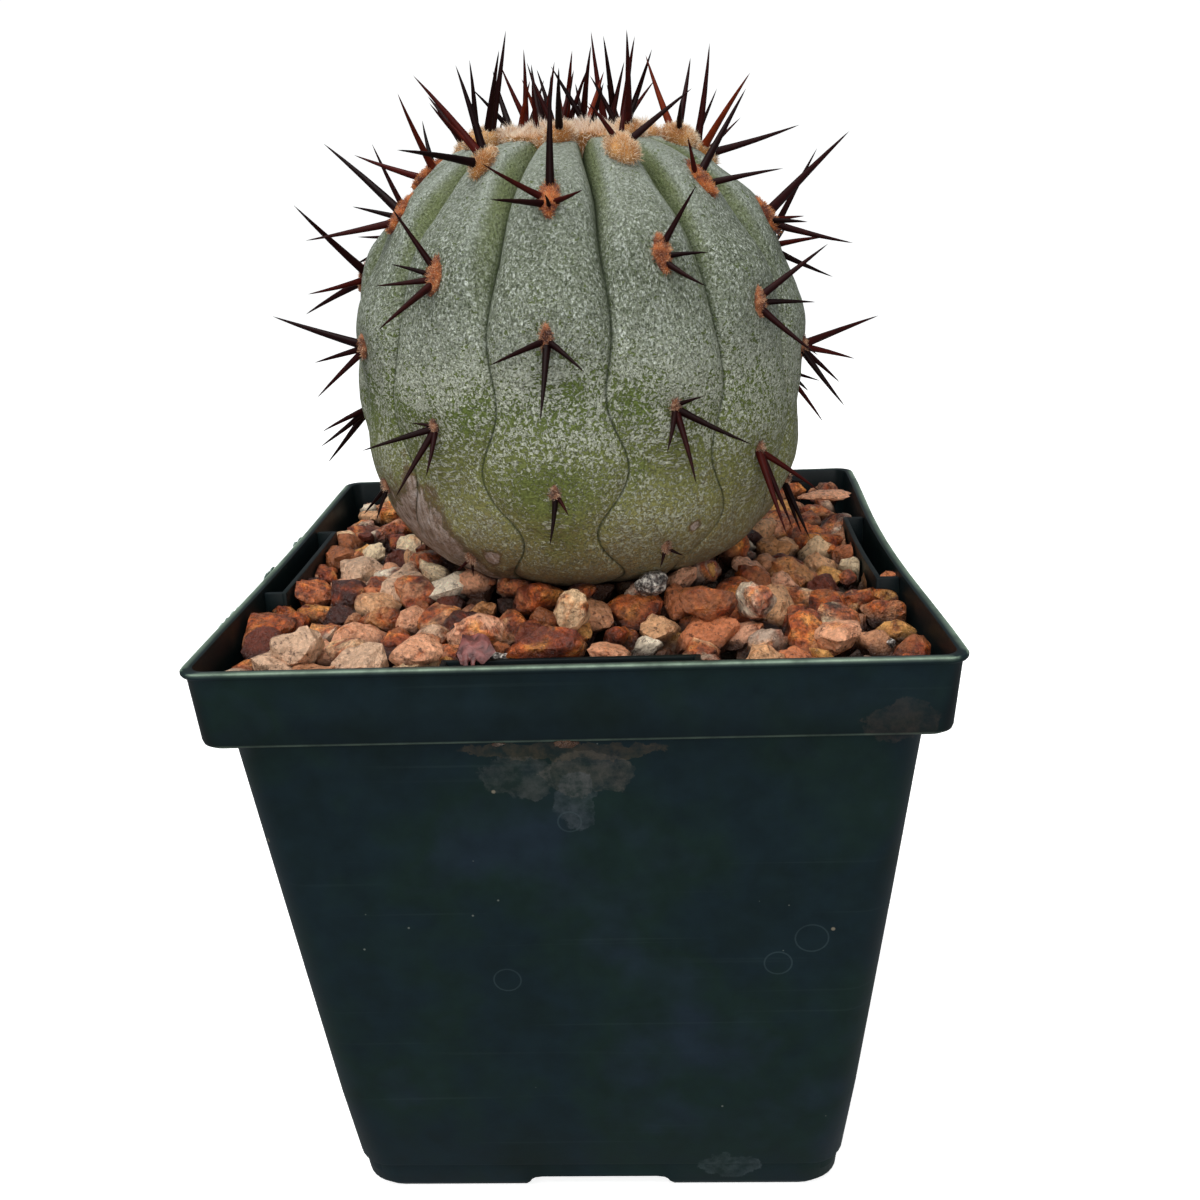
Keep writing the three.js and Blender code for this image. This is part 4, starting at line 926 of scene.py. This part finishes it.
count = len(columns)
loops = [np.array([column[k] for column in columns]) for k in range(len(rows) - 1, -1, -1)]
root = [np.stack([plant_x + r * (loops[0][:, 0] - plant_x) / neck_radius, r * loops[0][:, 1] / neck_radius,
                  np.full(count, rim_height + z)], 1) for r, z in ((1, -46), (6, -26), (12.5, -5))]
points, faces = loft(root + loops)
top = len(points)
faces.pop()
faces += [(top - count + i, top - count + (i + 1) % count, top) for i in range(count)]
points = np.concatenate([points, [np.mean(loops[-1], axis=0)]])
skin = new_piece("cactus_skin", points, faces)
for name, values in marks.items():
    values = np.array(values)[:, ::-1].T
    whole = np.concatenate([np.repeat(values[:1], 3, axis=0), values]).ravel()
    whole = np.append(whole, values[-1].mean())
    mark(skin, name, whole)
shade(skin, 75)

# Skin: a bloom of grey wax over green flesh. The wax is finely wrinkled above, and below it has cracked
# into flakes half a millimetre across. Flanks of the upper grooves are green, where no weather reaches.
waxy_skin, tree, shader, place = new_material("waxy_skin")
crease, down, flank, ridge, below, above, bare, cork = (
    add(tree, "Attribute", attribute_name=name).outputs["Fac"] for name in marks)
tall_place = add(tree, "Mapping", Vector=place, Scale=(1, 1, 0.65))
level_place = add(tree, "Mapping", Vector=place, Scale=(0.5, 0.5, 1.5))
broad, patchy, grain, wrinkles, crumble, folds = (
    add(tree, "TexNoise", Vector=where, Scale=scale, Detail=detail, Roughness=0.6, Distortion=bent)
    for where, scale, detail, bent in ((place, 80, 4, 0), (place, 330, 3, 0.3), (place, 2600, 2, 0),
                                       (tall_place, 2700, 3, 0.7), (place, 1900, 3, 1.0),
                                       (level_place, 1500, 2, 1.0)))

flesh = add(tree, "ValToRGB", add(tree, "MapRange", down, 40, 100, 0, 1),
            stops=[(0.0, "#5f6c40"), (0.35, "#616e34"), (0.65, "#949158"), (0.85, "#9e8c60"), (1.0, "#6c5634")])
flesh = add(tree, "Mix", add(tree, "MapRange", bare, 0.1, 0.8, 0, 0.6), flesh, tone("#5f702c"), **MIX)

# Cover is how much of the skin keeps its wax.
cover = add(tree, "MapRange", down, 34, 76, 0.665, 0.503, interpolation_type="SMOOTHSTEP")
cover = add(tree, "Math", broad, 0.17, cover, operation="MULTIPLY_ADD")
cover = add(tree, "Math", patchy, 0.22, cover, operation="MULTIPLY_ADD")
cover = add(tree, "Math", bare, -0.06, cover, operation="MULTIPLY_ADD")
cover = add(tree, "Math", above, 0.01, cover, operation="MULTIPLY_ADD")
pattern = add(tree, "Mix", below, crumble, folds, data_type="FLOAT")
margin = add(tree, "Math", cover, pattern, operation="SUBTRACT")
wax = add(tree, "MapRange", margin, 0.205, 0.24, 0, 1)
smooth_bloom = add(tree, "ValToRGB", wrinkles, stops=[(0.34, "#7d8673"), (0.5, "#959c8e"), (0.66, "#b0b7ab")])
crinkled = add(tree, "ValToRGB", wrinkles, stops=[(0.34, "#404932"), (0.45, "#6d755f"), (0.55, "#8a9180"),
                                                  (0.66, "#c8cec3")])
crinkly = add(tree, "Math", broad, 16, down, operation="MULTIPLY_ADD")
crinkly = add(tree, "MapRange", crinkly, 26, 52, 0, 1, interpolation_type="SMOOTHSTEP")
bloom = add(tree, "Mix", crinkly, smooth_bloom, crinkled, **MIX)
# Isolated flakes are bleached white, and whole wax stays grey-green.
flaky = add(tree, "MapRange", down, 42, 60, 0, 1)
bloom = add(tree, "Mix", add(tree, "MapRange", down, 52, 82, 0, 0.62), bloom, tone("#b4af86"), **MIX)
bleached = add(tree, "Math", flaky, add(tree, "MapRange", margin, 0.35, 0.25, 0.04, 1.0), operation="MULTIPLY")
flake = add(tree, "Mix", crumble, tone("#b3b89c"), tone("#f0f2e6"), **MIX)
flake = add(tree, "Mix", add(tree, "MapRange", down, 64, 88, 0, 0.7), flake, tone("#cdcaa4"), **MIX)
bloom = add(tree, "Mix", bleached, bloom, flake, **MIX)
bloom = add(tree, "Mix", add(tree, "MapRange", down, 84, 104, 0, 0.7), bloom, tone("#a08d6e"), **MIX)
ridge = add(tree, "Math", ridge, 0.5, operation="MULTIPLY")
bloom = add(tree, "Mix", ridge, bloom, tone("#b4bcb0"), **MIX)
thin = add(tree, "Math", patchy, -0.4, 1.05, operation="MULTIPLY_ADD")
flank = add(tree, "Math", flank, thin, operation="MULTIPLY")
bloom = add(tree, "Mix", flank, bloom, add(tree, "Mix", wrinkles, tone("#56612f"), tone("#7b8655"), **MIX), **MIX)
colour = add(tree, "Mix", wax, flesh, bloom, **MIX)
rugged = add(tree, "MapRange", down, 20, 50, 0.55, 1)
grainy = add(tree, "MapRange", grain, 0.34, 0.66, 0.66, 1.32)
colour = add(tree, "Mix", rugged, colour, grainy, blend_type="MULTIPLY", **MIX)

# Cork on the old lower skin, edged with brown, and earth splashed up from the gravel.
for noisy, amount in ((crumble, 0.16), (broad, 0.4), (patchy, 0.7)):
    cork = add(tree, "Math", noisy, amount, cork, operation="MULTIPLY_ADD")
strands = add(tree, "Mapping", Vector=place, Scale=(1, 1, 0.22))
strands = add(tree, "TexNoise", Vector=strands, Scale=1400, Detail=4, Distortion=0.4)
bark = add(tree, "ValToRGB", strands, stops=[(0.3, "#8d705b"), (0.45, "#bba595"), (0.6, "#d6c5bb"),
                                             (0.75, "#f2eae5")])
cork_edge = add(tree, "Mix", crumble, tone("#3f2f1a"), tone("#8d6f48"), **MIX)
colour = add(tree, "Mix", add(tree, "MapRange", cork, 0.86, 0.98, 0, 0.8), colour, cork_edge, **MIX)
colour = add(tree, "Mix", add(tree, "MapRange", cork, 1.06, 1.12, 0, 0.95), colour, bark, **MIX)
soiled = add(tree, "Math", crumble, 30, down, operation="MULTIPLY_ADD")
soiled = add(tree, "Math", patchy, 34, soiled, operation="MULTIPLY_ADD")
earth = add(tree, "Mix", add(tree, "MapRange", crumble, 0.4, 0.6, 0, 1), tone("#3b2b1b"), tone("#7d6648"), **MIX)
colour = add(tree, "Mix", add(tree, "MapRange", soiled, 106, 130, 0, 0.8), colour, earth, **MIX)
# Painted shadow: the skin turns near black low on the foot, where it meets the stones.
foot = add(tree, "Math", patchy, 6, down, operation="MULTIPLY_ADD")
colour = add(tree, "Mix", add(tree, "MapRange", foot, 97, 103, 0, 0.8), colour, tone("#19150b"), **MIX)
# Painted shade in the grooves: a soft dark band along each groove above, and a thin dark line in its crease below.
groove_shade = add(tree, "MapRange", crease, 1.0, 0.1, 0, 0.6, interpolation_type="SMOOTHSTEP")
groove_shade = add(tree, "Math", groove_shade, add(tree, "MapRange", down, 62, 40, 0, 1), operation="MULTIPLY")
colour = add(tree, "Mix", groove_shade, colour, tone("#3a4720"), **MIX)
colour = add(tree, "Mix", add(tree, "MapRange", crease, 0.3, 0.06, 0, 0.7), colour, tone("#2e3a20"), **MIX)

height = add(tree, "Mix", flaky, wrinkles, wax, data_type="FLOAT")
height = add(tree, "Math", grain, 0.6, height, operation="MULTIPLY_ADD")
bump = add(tree, "Bump", Strength=1.0, Distance=0.0006, Height=height)
feed(tree, shader, {"Base Color": colour, "Roughness": 0.6, "Normal": bump, "IOR": 1.42})
skin.data.materials.append(waxy_skin)
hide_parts("cactus")
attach(skin, "root")

# ---------------------------------------------------------------- the felt pads
# Each areole is a pad of short, stiff felt, orange-brown when young and grey when old. The pad is a low
# mound, and its hairs grow straight out of it.

pads, ages = [], []
for areole in areoles:
    if areole["woolly"]:
        continue
    wide, tall = areole["size"]
    rings = []
    for lift, share in ((-0.5, 1.0), (0.05, 1.0), (0.3, 0.82), (0.48, 0.5), (0.55, 0.12)):
        ring = []
        for k in range(14):
            a = k * math.pi / 7
            # A pad is pointed at its top and foot, like a lozenge with rounded corners.
            reach = 1 / (abs(math.cos(a)) ** 1.3 + abs(math.sin(a)) ** 1.3) ** (1 / 1.3)
            lumpy = 1 + 0.16 * noise.noise(Vector((3 * math.cos(a), 3 * math.sin(a), areole["s"] + share * 2)))
            way = math.cos(a) * wide * 0.8 * areole["right"] + math.sin(a) * tall * 1.05 * areole["up"]
            raised = lift * areole["out"] * (1.2 - 0.4 * areole["age"])
            ring.append(areole["place"] + share * lumpy * reach * way + raised)
        rings.append(np.array(ring))
    pads.append(new_piece("pad", *loft(rings)))
    ages += [areole["age"]] * len(pads[-1].data.vertices)
felt = pads[0]
felt.name = "areole_pads"
join(felt, *pads[1:])
mark(felt, "age", ages)
mark(felt, "hairy", np.tile(np.repeat([0, 1, 1, 1, 1], 14), len(pads)))
shade(felt, 80)

# One hair: a thin tapered tube of three sides with a slight bend, 1 mm long and 1 mm thick before scaling.
points = [(r * math.cos(a) + bend, r * math.sin(a), z)
          for r, z, bend in ((1.0, 0, 0), (0.8, 0.5, 0.12)) for a in (0, 2.09, 4.19)]
faces = [(0, 2, 1), (0, 1, 4, 3), (1, 2, 5, 4), (2, 0, 3, 5), (3, 4, 6), (4, 5, 6), (5, 3, 6)]
hair = new_piece("hair", points + [(0.42, 0, 1)], faces)
mark(hair, "tip", [0, 0, 0, 0.5, 0.5, 0.5, 1])

# Grows hairs on a surface: along its normal, leaning at random, with their length drawn from a range.
grow, grow_inputs, given = node_group("Grow hairs", [
    ("Hair", "Object"), ("Density", "Float"), ("Shortest", "Float"), ("Longest", "Float"), ("Thickness", "Float"),
    ("Lean", "Float"), ("Rise", "Float"), ("Seed", "Int"), ("Material", "Material")])
hairy = add(grow, "GeometryNodeInputNamedAttribute", Name="hairy", data_type="FLOAT")
dense = add(grow, "Math", hairy, given["Density"], operation="MULTIPLY")
spots = add(grow, "GeometryNodeDistributePointsOnFaces", Mesh=given["Geometry"], Density=dense, Seed=given["Seed"])
lean = add(grow, "FunctionNodeRandomValue", (-1, -1, -1), (1, 1, 1), Seed=2, data_type="FLOAT_VECTOR")
lean = add(grow, "VectorMath", lean, given["Lean"], operation="SCALE")
rise = add(grow, "CombineXYZ", Z=given["Rise"])
aim = add(grow, "VectorMath", spots.outputs["Normal"], lean, operation="ADD")
aim = add(grow, "VectorMath", aim, rise, operation="ADD")
spin = add(grow, "FunctionNodeRandomValue", 0.0, 6.28, Seed=3, data_type="FLOAT")
spin = add(grow, "FunctionNodeAxisAngleToRotation", Axis=(0, 0, 1), Angle=spin)
aimed = add(grow, "FunctionNodeAlignRotationToVector", Rotation=spin, Vector=aim, axis="Z")
long = add(grow, "FunctionNodeRandomValue", given["Shortest"], given["Longest"], Seed=4, data_type="FLOAT")
clumps = add(grow, "TexNoise", Scale=420, Detail=2)
clumps = add(grow, "MapRange", clumps, 0.38, 0.62, 0.55, 1.3)
long = add(grow, "Math", long, clumps, operation="MULTIPLY")
size = add(grow, "CombineXYZ", X=given["Thickness"], Y=given["Thickness"], Z=long)
source = add(grow, "GeometryNodeObjectInfo", Object=given["Hair"])
tufts = add(grow, "GeometryNodeInstanceOnPoints", Points=spots, Instance=source.outputs["Geometry"], Rotation=aimed,
            Scale=size)
tint = add(grow, "FunctionNodeRandomValue", 0.0, 1.0, Seed=5, data_type="FLOAT")
end_group(grow, tufts, given["Material"], tint)


def grow_hairs(name, surface, **values):
    """A piece of its own with the hairs that grow on a surface."""
    piece = bpy.data.objects.new(name, surface.data.copy())
    bpy.context.scene.collection.objects.link(piece)
    run_group(piece, grow, grow_inputs, Hair=hair, **values)
    return piece


# Areole felt: soft, matt plant hair. Young pads are orange-brown, and old ones weather to grey-tan.
plant_felt, tree, shader, place = new_material("plant_felt")
age = add(tree, "Attribute", attribute_name="age").outputs["Fac"]
tint = add(tree, "Attribute", attribute_name="tint").outputs["Fac"]
tuft = add(tree, "TexNoise", Vector=place, Scale=700, Detail=4)
share = add(tree, "Math", tint, 0.4, tuft, operation="MULTIPLY_ADD")
young = add(tree, "ValToRGB", share, stops=[(0.4, "#5a240c"), (0.6, "#b05d24"), (0.9, "#dea268")])
old = add(tree, "ValToRGB", share, stops=[(0.4, "#3c2216"), (0.6, "#8f5f42"), (0.9, "#dcb898")])
colour = add(tree, "Mix", age, young, old, **MIX)
bump = add(tree, "Bump", Strength=0.8, Distance=0.0004, Height=tuft)
feed(tree, shader, {"Base Color": colour, "Roughness": 0.95, "Normal": bump, "Sheen Weight": 0.3})
felt.data.materials.append(plant_felt)
felt_hairs = grow_hairs("areole_hairs", felt, Density=2.4e7, Shortest=0.25, Longest=0.6, Thickness=0.04, Lean=0.7,
                        Rise=0.0, Seed=4, Material=plant_felt)
for piece in (felt, felt_hairs):
    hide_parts("cactus")
    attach(piece, "root")

# ---------------------------------------------------------------- the crown's wool
# The growing point is sunk in a cap of soft wool: creamy in the middle, orange-tan where it runs out to the
# last young areoles. Under the loose hairs lies a dense mat.

shares = (-1, -0.75, -0.5, -0.25, 0, 0.25, 0.5, 0.75)
loops = []
for portion, lift in ((0.04, -0.3), (0.5, -0.3), (1.0, -0.3), (1.04, 0.6), (1.0, 1.1), (0.88, 1.6), (0.7, 1.9),
                      (0.5, 2.0), (0.3, 2.0), (0.14, 2.0), (0.04, 2.0)):
    loop = []
    for rib in range(rib_count):
        lengths = [a["s"] for a in areoles if a["rib"] == rib and a["woolly"]]
        reach = min(max(lengths + [10]) + 3, 14.5)
        for share in shares:
            lobe = math.exp(-(share / 0.34) ** 2)
            s = portion * (12 + (reach - 12) * lobe)
            thick = lift * (1 if portion < 0.6 else 0.45 + 0.55 * lobe) if lift > 0.4 else lift
            point = skin_point(rib, share, s, thick, filled=lift > 0)
            if lift > 0.4:
                fullness = float(smooth(-0.2, 0.25, noise.noise(Vector(point * [0.21, 0.21, 0]))))
                point = skin_point(rib, share, s, 0.4 + (thick - 0.4) * (0.15 + 1.0 * fullness), filled=True)
                point = point + np.array([0, 0, 0.5 * noise.noise(Vector(point * 0.42))])
            loop.append(point)
    loops.append(np.array(loop))
cap = new_piece("crown_mat", *loft(loops))
mark(cap, "hairy", np.repeat([0, 0, 0.6, 1, 1, 1, 1, 1, 1, 1, 1], len(loops[0])))
shade(cap, 80)

# A mound of its own on every young areole that has grown out of the middle.
mounds = []
for areole in areoles:
    if not areole["woolly"] or areole["s"] < 9:
        continue
    half = profile_at(areole["s"])[0] * abs(rib_span(areole["rib"], 1)[1]) / 2
    slim = 1 - 0.35 * float(smooth(20.5, 23, areole["s"]))
    rings = []
    for lift, share in ((-0.4, 0.95), (0.5, 1.05), (1.1, 1.0), (1.7, 0.78), (2.1, 0.45), (2.2, 0.1)):
        ring = []
        for k in range(14):
            a = k * math.pi / 7
            lumpy = share * (1 + 0.2 * noise.noise(Vector((2 * math.cos(a), 2 * math.sin(a), areole["s"]))))
            aside = float(np.clip(lumpy * slim * 2.1 * math.cos(a) / half, -0.95, 0.95))
            ring.append(skin_point(areole["rib"], aside, areole["s"] - lumpy * 3.1 * math.sin(a), lift * slim,
                                   filled=lift > 0))
        rings.append(np.array(ring))
    mounds.append(new_piece("mound", *loft(rings)))
tufts = mounds[0]
join(tufts, *mounds[1:])
tufts.name = "crown_tufts"
mark(tufts, "hairy", np.tile(np.repeat([0, 1, 1, 1, 1, 1], 14), len(mounds)))
shade(tufts, 80)

# Crown wool: fine, soft hair, orange-tan in its depth and bleached cream at its tips.
crown_wool, tree, shader, place = new_material("crown_wool_hair")
tint = add(tree, "Attribute", attribute_name="tint").outputs["Fac"]
centred = add(tree, "Mapping", Vector=place, Location=(-plant_x / 1000, 0, 0), Scale=(1, 1, 0))
far = add(tree, "VectorMath", centred, operation="LENGTH")
tuft = add(tree, "TexNoise", Vector=place, Scale=300, Detail=4)
far = add(tree, "Math", tuft, 0.012, far, operation="MULTIPLY_ADD")
outer = add(tree, "MapRange", far, 0.014, 0.022, 0, 1)
tip = add(tree, "Attribute", attribute_name="tip").outputs["Fac"]
share = add(tree, "Math", tint, 0.35, tuft, operation="MULTIPLY_ADD")
share = add(tree, "Math", tip, 0.35, share, operation="MULTIPLY_ADD")
cream = add(tree, "ValToRGB", share, stops=[(0.4, "#a86e34"), (0.62, "#d8ae7c"), (0.84, "#fbf2e6")])
tan = add(tree, "ValToRGB", share, stops=[(0.4, "#965e28"), (0.68, "#d09a5a"), (0.92, "#fae8cc")])
colour = add(tree, "Mix", outer, cream, tan, **MIX)
feed(tree, shader, {"Base Color": colour, "Roughness": 0.95, "Sheen Weight": 0.3})
cap.data.materials.append(crown_wool)
tufts.data.materials.append(crown_wool)
cap_hairs = grow_hairs("crown_hairs", cap, Density=1.9e7, Shortest=0.5, Longest=1.5, Thickness=0.032, Lean=0.7,
                       Rise=0.4, Seed=9, Material=crown_wool)
tuft_hairs = grow_hairs("crown_tuft_hairs", tufts, Density=2.6e7, Shortest=0.3, Longest=0.9, Thickness=0.032,
                        Lean=0.8, Rise=0.2, Seed=10, Material=crown_wool)
for piece in (cap, tufts, cap_hairs, tuft_hairs):
    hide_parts("crown_wool")
    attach(piece, "root")
bpy.data.objects.remove(hair)

# ---------------------------------------------------------------- the spines
# Stout awls of hard horn, 2 to 22 mm long and up to 1.8 mm thick where they leave the skin. Most are
# black-maroon, some are redder, and all end in a needle point. Each grows out of its areole.

rings, stages, sides = [], (0, 0.06, 0.25, 0.5, 0.75, 0.92), 8
for along in stages:
    girth = (1 - along) ** 0.72 * (1.12 if along == 0 else 1)
    bend = 1.1 * (along - along ** 2)
    rings.append(np.array([[girth * math.cos(k * math.pi / 4) + bend, girth * math.sin(k * math.pi / 4), along]
                           for k in range(sides)]))
points, faces = loft(rings)
faces.pop()
tip = len(points)
faces += [(tip - sides + k, tip - sides + (k + 1) % sides, tip) for k in range(sides)]
awl = new_piece("awl", np.concatenate([points, [[0, 0, 1]]]), faces)
shade(awl, 60)
mark(awl, "along", np.append(np.repeat(stages, sides), 1))

# Sets one awl on every point, turned along its aim and scaled to its own length and thickness.
bristle, bristle_inputs, given = node_group("Set spines", [
    ("Awl", "Object"), ("Seed", "Int"), ("Material", "Material")])
aim = add(bristle, "GeometryNodeInputNamedAttribute", Name="aim", data_type="FLOAT_VECTOR")
size = add(bristle, "GeometryNodeInputNamedAttribute", Name="size", data_type="FLOAT_VECTOR")
spin = add(bristle, "FunctionNodeRandomValue", 0.0, 6.28, Seed=given["Seed"], data_type="FLOAT")
spin = add(bristle, "FunctionNodeAxisAngleToRotation", Axis=(0, 0, 1), Angle=spin)
aimed = add(bristle, "FunctionNodeAlignRotationToVector", Rotation=spin, Vector=aim, axis="Z")
source = add(bristle, "GeometryNodeObjectInfo", Object=given["Awl"])
roots = add(bristle, "GeometryNodeMeshToPoints", Mesh=given["Geometry"])
awls = add(bristle, "GeometryNodeInstanceOnPoints", Points=roots, Instance=source.outputs["Geometry"],
           Rotation=aimed, Scale=size)
end_group(bristle, awls, given["Material"])

# Spine horn: dense, hardly glossy and faintly mottled. Each spine has its own tint, redder on young areoles,
# and darkens towards its tip.
spine_horn, tree, shader, place = new_material("spine_horn")
along = add(tree, "Attribute", attribute_name="along").outputs["Fac"]
tint = add(tree, "Attribute", attribute_name="tint").outputs["Fac"]
grain = add(tree, "TexNoise", Vector=place, Scale=600, Detail=4, Roughness=0.6)
share = add(tree, "Math", grain, 0.35, tint, operation="MULTIPLY_ADD")
dark = add(tree, "ValToRGB", share, stops=[(0.2, "#140707"), (0.5, "#260b0b"), (0.75, "#4a140e"), (1.0, "#7a2f14")])
along = add(tree, "MapRange", along, 0.5, 1, 0, 0.6)
colour = add(tree, "Mix", along, dark, tone("#1c0909"), **MIX)
bump = add(tree, "Bump", Strength=0.3, Distance=0.0001, Height=grain)
feed(tree, shader, {"Base Color": colour, "Roughness": 0.45, "Normal": bump, "IOR": 1.5,
                    "Specular IOR Level": 0.08})

chance = np.random.default_rng(77)
for name, woolly, node in (("cactus_spines", False, "cactus"), ("crown_spines", True, "crown_wool")):
    places, aims, sizes, tints = [], [], [], []
    for areole in areoles:
        if areole["woolly"] != woolly:
            continue
        base = skin_point(areole["rib"], 0, areole["s"], 1.4 if woolly else 0)
        for clock, lift, reach in areole["spines"]:
            a, b = math.radians(clock), math.radians(lift)
            level = areole["up"] * math.cos(a) + areole["right"] * math.sin(a)
            aim = level * math.cos(b) + areole["out"] * math.sin(b)
            start = (base + areole["right"] * 0.5 * areole["size"][0] * math.sin(a)
                     + areole["up"] * 0.5 * areole["size"][1] * math.cos(a))
            for axis in (0, 1):
                room = 53.6 - abs(start[axis])
                if aim[axis] * start[axis] > 0 and abs(aim[axis]) * reach > room:
                    reach = room / abs(aim[axis])
            girth = 0.32 + 0.026 * reach
            sunk = 0.0 if woolly else 0.8
            places.append(start - aim * sunk)
            aims.append(aim)
            sizes.append((girth, girth, reach + sunk))
            tints.append((0.85 - 0.3 * areole["age"]) * chance.beta(1.2, 2.2))
    piece = new_piece(name, places, [])
    for label, vectors in (("aim", aims), ("size", sizes)):
        made = piece.data.attributes.new(label, "FLOAT_VECTOR", "POINT")
        made.data.foreach_set("vector", np.array(vectors, np.float32).ravel())
    mark(piece, "tint", tints)
    run_group(piece, bristle, bristle_inputs, Awl=awl, Seed=6, Material=spine_horn)
    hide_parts(node)
    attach(piece, "root")
bpy.data.objects.remove(awl)

# ---------------------------------------------------------------- the studio
# A white paper sweep, one large soft light above, a fill from the front and the camera of the photograph.

bend = 1.2
curve = [(bend + bend * math.sin(a), bend - bend * math.cos(a)) for a in np.linspace(0.1, 1.57, 12)]
sweep = [[(-4000, y * 1000, z * 1000), (4000, y * 1000, z * 1000)]
         for y, z in [(-3, 0), (bend, 0), *curve, (2.4, 4.5)]]
points = np.array(sweep, float).reshape(-1, 3)
faces = [(2 * k, 2 * k + 1, 2 * k + 3, 2 * k + 2) for k in range(len(sweep) - 1)]
floor = new_piece("paper_sweep", points, faces)
shade(floor, 60)
backlit_paper, tree, shader, place = new_material("backlit_paper")
feed(tree, shader, {"Base Color": tone("#f4f4f2"), "Roughness": 0.9, "Emission Color": tone("#ffffff"),
                    "Emission Strength": 0.75})
floor.data.materials.append(backlit_paper)
# Black flags stand in for the paper as far as the object is concerned: it throws no light up onto it.
floor.visible_diffuse = False
floor.visible_glossy = False

for name, place, aim, power, size in (("Overhead", (-0.20, -0.20, 0.95), (0, 0, 0.12), 8.2, 0.8),
                                      ("Front", (0.15, -1.15, 0.40), (0, 0, 0.1), 6.5, 0.9)):
    lamp = bpy.data.lights.new(name, "AREA")
    lamp.energy = power
    lamp.size = size
    holder = bpy.data.objects.new(name, lamp)
    holder.location = place
    holder.rotation_euler = (Vector(aim) - Vector(place)).to_track_quat("-Z", "Y").to_euler()
    bpy.context.scene.collection.objects.link(holder)
world = bpy.data.worlds.new("Studio")
world.use_nodes = True
world.node_tree.nodes["Background"].inputs[0].default_value = tone("#eef4f8")
world.node_tree.nodes["Background"].inputs[1].default_value = 0.27
bpy.context.scene.world = world
bpy.context.scene.view_settings.view_transform = "Standard"

# The camera stands where the photograph's stood: 0.29 m away, a little to the right, looking down 19 degrees.
camera_data = bpy.data.cameras.new("Camera")
camera_data.sensor_width = 36
# The focal length found by the fit, in pixels of a picture 1200 pixels wide.
camera_data.lens = camera_data.sensor_width * 1265.39 / 1200
camera_data.clip_start = 0.01
camera = bpy.data.objects.new("Camera", camera_data)
yaw, pitch, roll = math.radians(-2.7158), math.radians(19.3105), math.radians(-2.3475)
right = Vector((math.cos(yaw), -math.sin(yaw), 0))
ahead = Vector((math.sin(yaw) * math.cos(pitch), math.cos(yaw) * math.cos(pitch), -math.sin(pitch)))
upward = right.cross(ahead)
turned_right = right * math.cos(roll) + upward * math.sin(roll)
turned_up = upward * math.cos(roll) - right * math.sin(roll)
matrix = camera.matrix_world.copy()
for row in range(3):
    matrix[row][0], matrix[row][1], matrix[row][2] = turned_right[row], turned_up[row], -ahead[row]
    matrix[row][3] = (0.012131, -0.210995, 0.166050)[row]
camera.matrix_world = matrix
bpy.context.scene.collection.objects.link(camera)
bpy.context.scene.camera = camera
